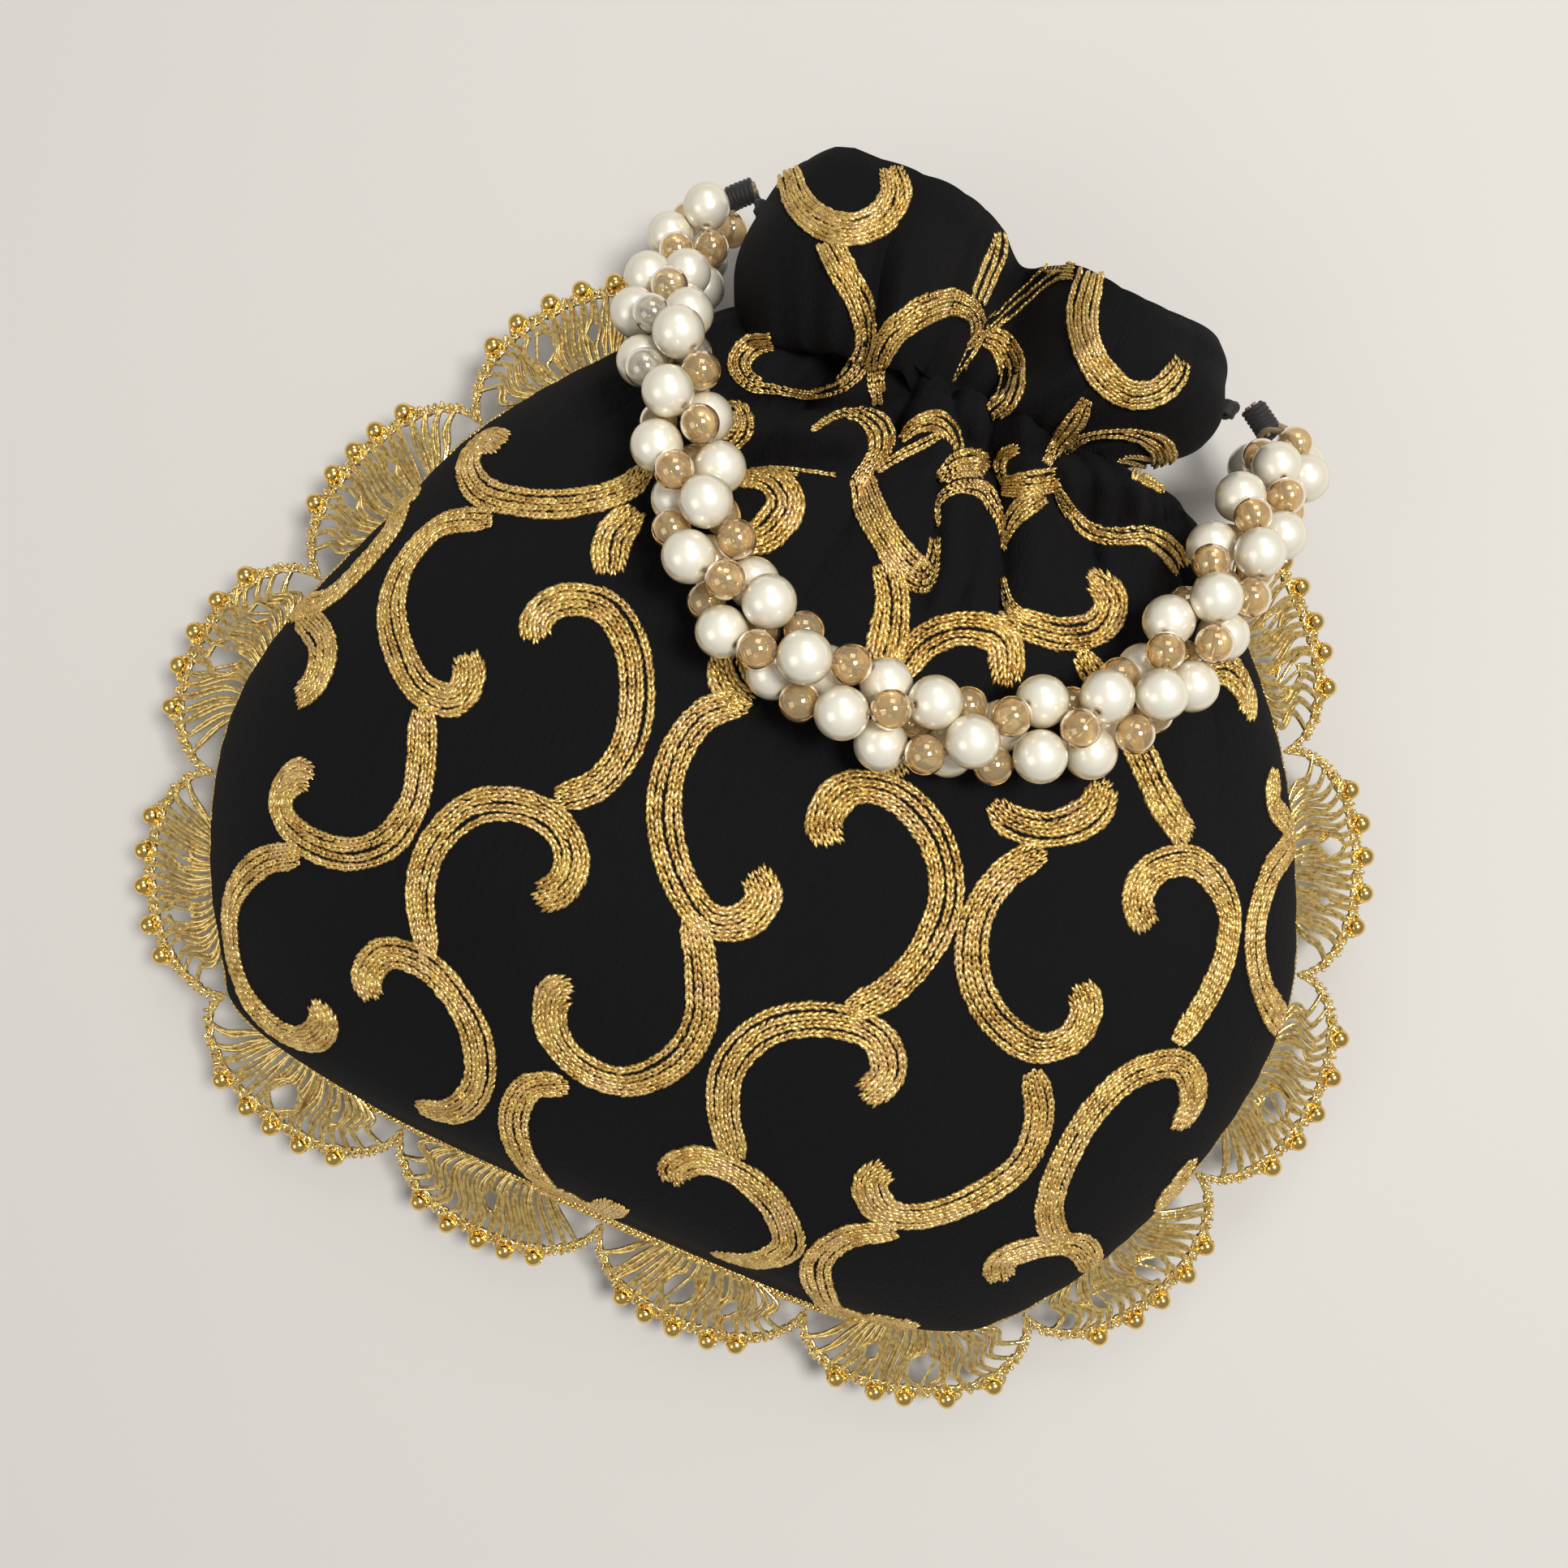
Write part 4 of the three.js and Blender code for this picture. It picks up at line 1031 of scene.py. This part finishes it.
def on_cloth(place):
    spot, normal, _, _ = made["cloth"].find_nearest(Vector(place * MM))
    return np.array(spot) / MM, np.array(normal)


def smoothed(rows, reach):
    """Rows averaged over their neighbours, with the ends held."""
    wide = np.pad(rows, ((reach, reach), (0, 0)), mode="edge")
    kernel = np.ones(2 * reach + 1) / (2 * reach + 1)
    columns = [np.convolve(wide[:, k], kernel, mode="valid") for k in range(rows.shape[1])]
    return np.stack(columns, axis=1)


def stitched(line, sizes, dice):
    """Chain stitches of one scroll, row by row: their places, directions, facings and sizes."""
    path, _ = smooth_line(line, 3.0)
    hits = [seen(*p) for p in path]
    middle = smoothed(np.array([h[0] for h in hits]), 1)
    facing = smoothed(np.array([h[1] for h in hits]), 4)
    length = total(middle)
    step = sizes.stitch_pitch / MM
    row_pitch = sizes.row_pitch / MM
    places, ways, ups, rooms = [], [], [], []
    wander = dice.uniform(0, 6.28, SCROLL_ROWS)
    swing = dice.uniform(0.04, 0.14, SCROLL_ROWS)
    slits = np.cumsum([0, *dice.permutation([dice.uniform(0, 0.12), dice.uniform(0.15, 0.4),
                                             dice.uniform(0.35, 0.62)])])
    slits -= slits.mean()
    for row in range(SCROLL_ROWS):
        out = row - (SCROLL_ROWS - 1) / 2
        begin = 0.3 + dice.uniform(0, 0.9) + 0.35 * abs(out)
        end = length - 0.2 - dice.uniform(0, 0.5) - 0.5 * abs(out)
        at = np.linspace(begin, end, max(8, int((end - begin) / 0.12)))
        up = blended(at / length, np.linspace(0, 1, len(facing)), facing)
        way = unit(along_line(middle, at + 1.2) - along_line(middle, at - 1.2))
        side = unit(np.cross(up, way))
        left = length - at
        # Broader in the curl, rounded at its tip and slimmer where the scroll begins
        broad = 1 + 0.2 * soft_step(left, 1.5, 5) * (1 - soft_step(left, 9, 17))
        tip = 0.42 + 0.58 * np.sqrt(np.clip(1 - (1 - np.clip(left / 3.4, 0, 1)) ** 2, 0, 1))
        root = 0.62 + 0.38 * soft_step(at, 0, 4)
        width = broad * tip * root
        drift = swing[row] * np.sin(at * 0.33 + wander[row]) + 0.05 * np.sin(at * 1.9 + wander[row])
        part = np.clip(at / length * 1.15 - 0.05, 0, 1)
        open_slit = slits[row] * np.sin(np.pi * part)
        offset = out * row_pitch * width + drift * tip + open_slit
        row_line = along_line(middle, at) + side * offset[:, None]
        run = runs(row_line)
        for i in np.searchsorted(run, np.arange(0.1, run[-1], step)):
            place, normal = on_cloth(row_line[i])
            places.append(place + normal * (STITCH_LIFT + 0.08 * dice.random()))
            ways.append(way[i] + 0.1 * dice.normal(0, 1, 3))
            ups.append(normal)
            rooms.append(min(1.18, max(0.8, width[i])))
    return places, ways, ups, rooms


def stitched_in_view(line, dice):
    """Chain stitches of a scroll that dips in and out of folds, laid out as it is seen."""
    path, _ = smooth_line(line, 1.2)
    way = directions(path[:, :2])
    rows = max(1, round(path[:, 2].max() / ROW_IN_VIEW))
    places, ways, ups, rooms = [], [], [], []
    for row in range(rows):
        off = ((row + 0.5) / rows - 0.5) * path[:, 2]
        off = off + 0.8 * np.sin(np.arange(len(path)) * 0.07 + dice.uniform(0, 6.28))
        row_line = path[:, :2] + np.stack([-way[:, 1], way[:, 0]], axis=1) * off[:, None]
        last = EYE
        for i in range(dice.integers(0, 3), len(path)):
            room = path[i, 2] / rows / ROW_IN_VIEW
            at = row_line[i] + dice.normal(0, 0.25, 2)
            place, normal = seen(*at)
            if (room < 0.5 and row % 2) or np.linalg.norm(place - last) < VIEW_STITCH_GAP:
                continue
            last = place
            ahead, _ = seen(*(at + 4 * way[i]))
            lean = ahead - place
            eye = (EYE - place) / np.linalg.norm(EYE - place)
            if np.linalg.norm(lean) > FOLD_JUMP:
                lean = lean - eye * (lean @ eye)
            # On the steep sides of folds the thread stands up from the cloth
            normal = normal + eye * 0.8 * max(0, STEEP_FACING - normal @ eye)
            normal /= np.linalg.norm(normal)
            places.append(place + normal * (STITCH_LIFT + 0.1 * dice.random()))
            ways.append(lean / max(np.linalg.norm(lean), 1e-6) + 0.06 * dice.normal(0, 1, 3))
            ups.append(normal)
            rooms.append(float(np.clip(room * 0.98, 0.66, 1.12)))
    return places, ways, ups, rooms


class POTLI_OT_embroidery(bpy.types.Operator):
    """Stitch the gold scrolls onto the cloth in rows of chain stitch"""

    bl_idname = "potli.embroidery"
    bl_label = "Embroidery"

    def execute(self, context):
        sizes = context.scene.potli_sizes
        finish = zari_finish(context.scene.potli_colours)
        tree = stitch_tree()
        dice = np.random.default_rng(7)
        for name, lines in {**SCROLLS, **NECK_SCROLLS}.items():
            places, ways, ups, rooms = [], [], [], []
            for line in lines:
                laid = (stitched(line, sizes, dice) if name in SCROLLS
                        else stitched_in_view(line, dice))
                for kept, found in zip((places, ways, ups, rooms), laid):
                    kept.extend(found)
            cloud = point_cloud(name + "_points", np.array(places) * MM,
                                along=ways, up=ups, room=rooms)
            piece = grown(name + "_stitches", cloud, tree, finish, Length=sizes.stitch_length,
                          Width=sizes.row_pitch, Thread=sizes.row_pitch * 0.56, Seed=3)
            settle(piece, "gold_embroidery", *(() if name in OWN_PIECES else (name,)))
        return {"FINISHED"}


class POTLI_OT_lace(bpy.types.Operator):
    """Knot the scalloped gold lace with its fans of threads and polished balls"""

    bl_idname = "potli.lace"
    bl_label = "Lace"

    def execute(self, context):
        sizes = context.scene.potli_sizes
        colours = context.scene.potli_colours
        line, length = seam_line()
        way = directions(line)
        out = unit(np.stack([way[:, 1], -way[:, 0], np.zeros(len(way))], axis=1))
        run = np.linspace(0, length, len(line))

        def at(along, away, lift=0.0):
            along, away = np.broadcast_arrays(np.asarray(along, float), np.asarray(away, float))
            k = np.clip(along, 0, length)
            spot = blended(k, run, line) + blended(k, run, out) * (away + LACE_GAP)[..., None]
            spot[..., 2] += lift - LACE_DROOP * away / LACE_DEPTH
            return spot

        pitch = length / LACE_FANS
        dice = np.random.default_rng(21)

        def rim_at(offset):
            share = np.minimum(1, np.abs(offset) / (pitch / 2))
            return BRAID_WIDTH + (LACE_DEPTH - BRAID_WIDTH) * (
                1 - share ** SCALLOP_ROUNDNESS) ** SCALLOP_FULLNESS

        threads, chains, balls, holes = [], [], [], []
        for fan in range(LACE_FANS):
            middle = (fan + 0.5) * pitch
            lean = 0.9 * math.sin(fan * 2.1 + 0.6)
            # Pairs of threads, spread from the seam out to the rim
            holes_here = [(middle + dice.uniform(-9, 9), dice.uniform(5.5, 8.5),
                           dice.uniform(2.6, 4.4))]
            holes_here.append((holes_here[0][0] + (11 if holes_here[0][0] < middle else -11),
                               dice.uniform(5, 7), dice.uniform(1.6, 2.6)))
            for n in range(THREAD_PAIRS):
                share = (n + 0.5) / THREAD_PAIRS * 2 - 1
                tip = share * pitch * 0.485 + dice.normal(0, 0.25)
                foot = share * 12.5 + lean + dice.normal(0, 0.2)
                bow = (1.4 * share + 1.6 * lean) * dice.uniform(0.7, 1.3)
                height = dice.uniform(0.0, 1.5)
                reach = float(rim_at(tip)) + 1.3
                for twin in (-0.42, 0.42):
                    t = np.linspace(0, 1, 15)
                    along = middle + foot + (tip - foot) * t ** 1.15 + bow * np.sin(2 * np.pi * t)
                    along = along + twin * (0.3 + 1.1 * np.sin(np.pi * t) ** 2)
                    away = -1.5 + reach * t
                    # Threads part round the openings
                    for where, out_to, wide in holes_here:
                        far = np.hypot(along - where, away - out_to)
                        parted = (0.82 * wide + 0.18 * far) / np.maximum(far, 0.05)
                        push = np.where(far < wide, parted, 1)
                        along = where + (along - where) * push
                        away = out_to + (away - out_to) * push
                    threads.append(at(along, away, height * np.sin(np.pi * t) + 0.3 * twin))
            # Looped chain round the scallop, with a ball hung from it between two loops
            offset = np.linspace(-pitch / 2, pitch / 2, 260)
            rim = np.stack([middle + offset, rim_at(offset)], axis=1)
            rim_run = runs(rim)
            stops = np.linspace(0, rim_run[-1], int(rim_run[-1] / CHAIN_STEP))
            a, b = blended(stops, rim_run, rim).T
            for phase, size in ((0.0, 1.2), (2.1, 1.2), (4.2, 0.9)):
                turn = stops / CHAIN_LOOP * 2 * np.pi + phase
                chains.append(at(a + 0.5 * np.cos(turn), b - 1.0 + size * np.sin(turn),
                                 0.5 * np.cos(turn * 2 + phase)))
            for n in range(BEADS_PER_FAN):
                offset = (n - (BEADS_PER_FAN - 1) / 2) * BEAD_PITCH + dice.normal(0, 0.3)
                away = float(rim_at(offset)) + 0.5
                balls.append(at(middle + offset, away, 0.3))
                ahead = at(middle + offset + 1, away, 0.3) - balls[-1]
                holes.append(ahead + np.array([0, 0, dice.normal(0, 0.25)]))
                t = np.linspace(0, 2 * np.pi, 18)
                chains.append(at(middle + offset + 1.9 * np.cos(t), away - 1.2 + 1.6 * np.sin(t),
                                 0.5 + 0.3 * np.sin(t)))
        # Braid in the seam
        stops = np.linspace(0, length, int(length / CHAIN_STEP))
        for phase in (0.0, 2.1, 4.2):
            turn = stops / BRAID_LOOP * 2 * np.pi + phase
            chains.append(at(stops, -1.2 + 0.75 * np.cos(turn), 0.6 * np.sin(2 * turn) - 0.4))
        tree = thread_tree()
        finish = lace_finish(colours)
        curves = thread_curves("lace_fans_lines", [t * MM for t in threads])
        fans = grown("lace_fans", curves, tree, finish, Thread=sizes.lace_thread, Sides=5)
        settle(fans, "gold_lace", "lace")
        curves = thread_curves("lace_chain_lines", [c * MM for c in chains])
        chain = grown("lace_chain", curves, tree, finish, Thread=sizes.lace_thread * 0.82, Sides=5)
        settle(chain, "gold_lace")
        ball = bead_shape("ball_shape", sizes.lace_ball, BALL_BORE * MM, 16, 9)
        cloud = point_cloud("ball_points", np.array(balls) * MM, along=np.array(holes))
        strung = grown("lace_balls", cloud, bead_tree(), ball_finish(colours), Bead=ball, Seed=2)
        bpy.data.objects.remove(ball)
        settle(strung, "gold_lace")
        return {"FINISHED"}


def strung(number, pearl_size, glass_size):
    """A strand's line and length, with the distances along it of its pearls and glass beads."""
    line = strand_thread(number)
    length = total(line)
    pair = pearl_size + glass_size
    margin = STRAND_LEAD + pearl_size / 2
    start = margin + number / STRAND_COUNT * pair
    pairs = int((length - margin - start) // pair)
    pearls = start + np.arange(pairs + 1) * pair
    return line, length, pearls, start + pair / 2 + np.arange(pairs) * pair


class POTLI_OT_handle(bpy.types.Operator):
    """String the three threads of pearls and glass beads and twist them together"""

    bl_idname = "potli.handle"
    bl_label = "Bead handle"

    def execute(self, context):
        sizes = context.scene.potli_sizes
        colours = context.scene.potli_colours
        tree = bead_tree()
        pearl_look, glass_look = pearl_finish(colours), glass_finish(colours)
        thread_look = thread_finish("strand_thread", (0.34, 0.24, 0.13))
        pearl_size, glass_size = sizes.pearl / MM, sizes.glass / MM
        strands = [strung(number, pearl_size, glass_size) for number in range(STRAND_COUNT)]
        crowd = [(spot, size) for line, _, pearls, glasses in strands
                 for stops, size in ((pearls, pearl_size), (glasses, glass_size))
                 for spot in along_line(line, stops)]
        for number, (line, length, pearls, glasses) in enumerate(strands):
            # The last beads of each thread crowd up to the knots as far as there is room
            for end, ways_in in ((0, -1), (-1, 1)):
                at, kind = pearls[end], 1
                while True:
                    at = at + ways_in * (pearl_size + glass_size) / 2
                    if not BARE_END < at < length - BARE_END:
                        break
                    size = (pearl_size, glass_size)[kind]
                    spot = along_line(line, np.array([at]))[0]
                    if all(np.linalg.norm(spot - other) > (size + wide) / 2 * BEAD_ROOM
                           for other, wide in crowd):
                        crowd.append((spot, size))
                        if kind:
                            glasses = np.append(glasses, at)
                        else:
                            pearls = np.append(pearls, at)
                    kind = 1 - kind
            name = f"handle_strand_{number + 1}"
            for kind, stops, look, size in (("pearls", pearls, pearl_look, sizes.pearl),
                                            ("glass", glasses, glass_look, sizes.glass)):
                shape = bead_shape(f"{kind}_shape", size, BEAD_BORE * MM, 32, 20)
                ahead, behind = along_line(line, stops + 0.8), along_line(line, stops - 0.8)
                cloud = point_cloud(f"{name}_{kind}_points", along_line(line, stops) * MM,
                                    along=ahead - behind)
                beads = grown(f"{name}_{kind}", cloud, tree, look, Bead=shape, Seed=4 + number)
                bpy.data.objects.remove(shape)
                settle(beads, "pearl_and_glass")
            thread = thread_curves(name + "_thread", [line * MM])
            thread.data.bevel_depth = sizes.strand / 2
            thread.data.bevel_resolution = 2
            thread.data.use_fill_caps = True
            thread.data.materials.append(thread_look)
            settle(thread, "pearl_and_glass", name)
            tuple(line[0] * MM)
            length * MM
        return {"FINISHED"}


class POTLI_OT_knots(bpy.types.Operator):
    """Wind the thread knots that hold the handle to the frill"""

    bl_idname = "potli.knots"
    bl_label = "Knots"

    def execute(self, context):
        look = thread_finish("knot_thread", (0.012, 0.012, 0.013))
        tree = thread_tree()
        for name, centre in KNOTS.items():
            t = np.linspace(0, 2 * np.pi, 90)
            knot = np.stack([np.sin(t) + 2 * np.sin(2 * t), np.cos(t) - 2 * np.cos(2 * t),
                             -np.sin(3 * t)], axis=1) * 0.62
            wrap_turn = np.linspace(0, 10 * np.pi, 120)
            wrap = np.stack([WRAP_RADIUS * np.cos(wrap_turn),
                             np.linspace(-WRAP_RADIUS, WRAP_RADIUS, 120),
                             WRAP_RADIUS * np.sin(wrap_turn)], axis=1)
            # Whipping that binds the ends of the three threads
            left = centre[0] < 0
            ends = [strand_thread(number) for number in range(STRAND_COUNT)]
            reach = np.linspace(*WHIP_REACH, 180)
            core = np.mean([along_line(e, reach if left else total(e) - reach)
                            for e in ends], axis=0)
            ahead = directions(core)
            side = unit(np.cross(ahead, (0, 0, 1)))
            turn = (reach / WHIP_PITCH * 2 * np.pi)[:, None]
            whip = core + WHIP_RADIUS * (side * np.cos(turn) + np.cross(side, ahead) * np.sin(turn))
            lines = [(knot + centre) * MM, (wrap + centre) * MM, whip * MM]
            piece = grown(name + "_thread", thread_curves(name + "_lines", lines), tree, look,
                          Thread=KNOT_THREAD * MM, Sides=8)
            settle(piece, "black_cloth", name)
        return {"FINISHED"}


class POTLI_OT_stage(bpy.types.Operator):
    """Set the floor, the soft lights and the camera"""

    bl_idname = "potli.stage"
    bl_label = "Stage"

    def execute(self, context):
        scene = context.scene
        scene.view_settings.view_transform = "Standard"
        corners = [(x * FLOOR_HALF, y * FLOOR_HALF, 0)
                   for x, y in ((-1, -1), (1, -1), (1, 1), (-1, 1))]
        floor = new_piece("floor", corners, [[0, 1, 2, 3]], smooth=False)
        f = Finish("pale_floor", Roughness=0.9, Specular_IOR_Level=0.1)
        drift = f.noise(4.0)
        pale = tuple(scene.potli_colours.floor)
        f.feed("Base Color", f.mix(drift, pale, tuple(c * 0.97 for c in pale)))
        floor.data.materials.append(f.material)
        world = bpy.data.worlds.new("studio")
        scene.world = world
        world.use_nodes = True
        sky = world.node_tree.nodes["Background"]
        sky.inputs["Color"].default_value = WORLD_COLOUR
        sky.inputs["Strength"].default_value = WORLD_STRENGTH
        for name, place, size, watts in LAMPS:
            lamp = bpy.data.lights.new(name, "AREA")
            lamp.size = size
            lamp.energy = watts
            lamp.color = LAMP_COLOUR
            obj = placed(name, lamp)
            obj.location = place
            aim = Vector(LAMP_AIM) - Vector(place)
            obj.rotation_euler = aim.to_track_quat("-Z", "Y").to_euler()
        camera = bpy.data.cameras.new("camera")
        camera.lens = 36
        camera.sensor_width = 36
        camera.clip_start = 0.01
        view = placed("camera", camera)
        view.location = tuple(EYE * MM)
        view.rotation_euler = (0, 0, EYE_TURN)
        scene.camera = view
        return {"FINISHED"}


class POTLI_PT_panel(bpy.types.Panel):
    """Sidebar panel that lists the bag's pieces"""

    bl_label = "Potli bag"
    bl_space_type = "VIEW_3D"
    bl_region_type = "UI"
    bl_category = "Potli"

    def draw(self, context):
        for group in (context.scene.potli_sizes, context.scene.potli_colours):
            box = self.layout.box()
            for name in group.__annotations__:
                box.prop(group, name)
        for operator in OPERATORS:
            self.layout.operator(operator.bl_idname)


OPERATORS = (POTLI_OT_stage, POTLI_OT_bag, POTLI_OT_embroidery, POTLI_OT_lace, POTLI_OT_handle,
             POTLI_OT_knots)
CLASSES = (PotliSizes, PotliColours, *OPERATORS, POTLI_PT_panel)


def register():
    for cls in CLASSES:
        bpy.utils.register_class(cls)
    bpy.types.Scene.potli_sizes = bpy.props.PointerProperty(type=PotliSizes)
    bpy.types.Scene.potli_colours = bpy.props.PointerProperty(type=PotliColours)


def unregister():
    del bpy.types.Scene.potli_colours
    del bpy.types.Scene.potli_sizes
    for cls in reversed(CLASSES):
        bpy.utils.unregister_class(cls)


def main():
    register()
    for make in (bpy.ops.potli.stage, bpy.ops.potli.handle, bpy.ops.potli.bag,
                 bpy.ops.potli.embroidery, bpy.ops.potli.lace, bpy.ops.potli.knots):
        make()


if __name__ == "__main__":
    main()
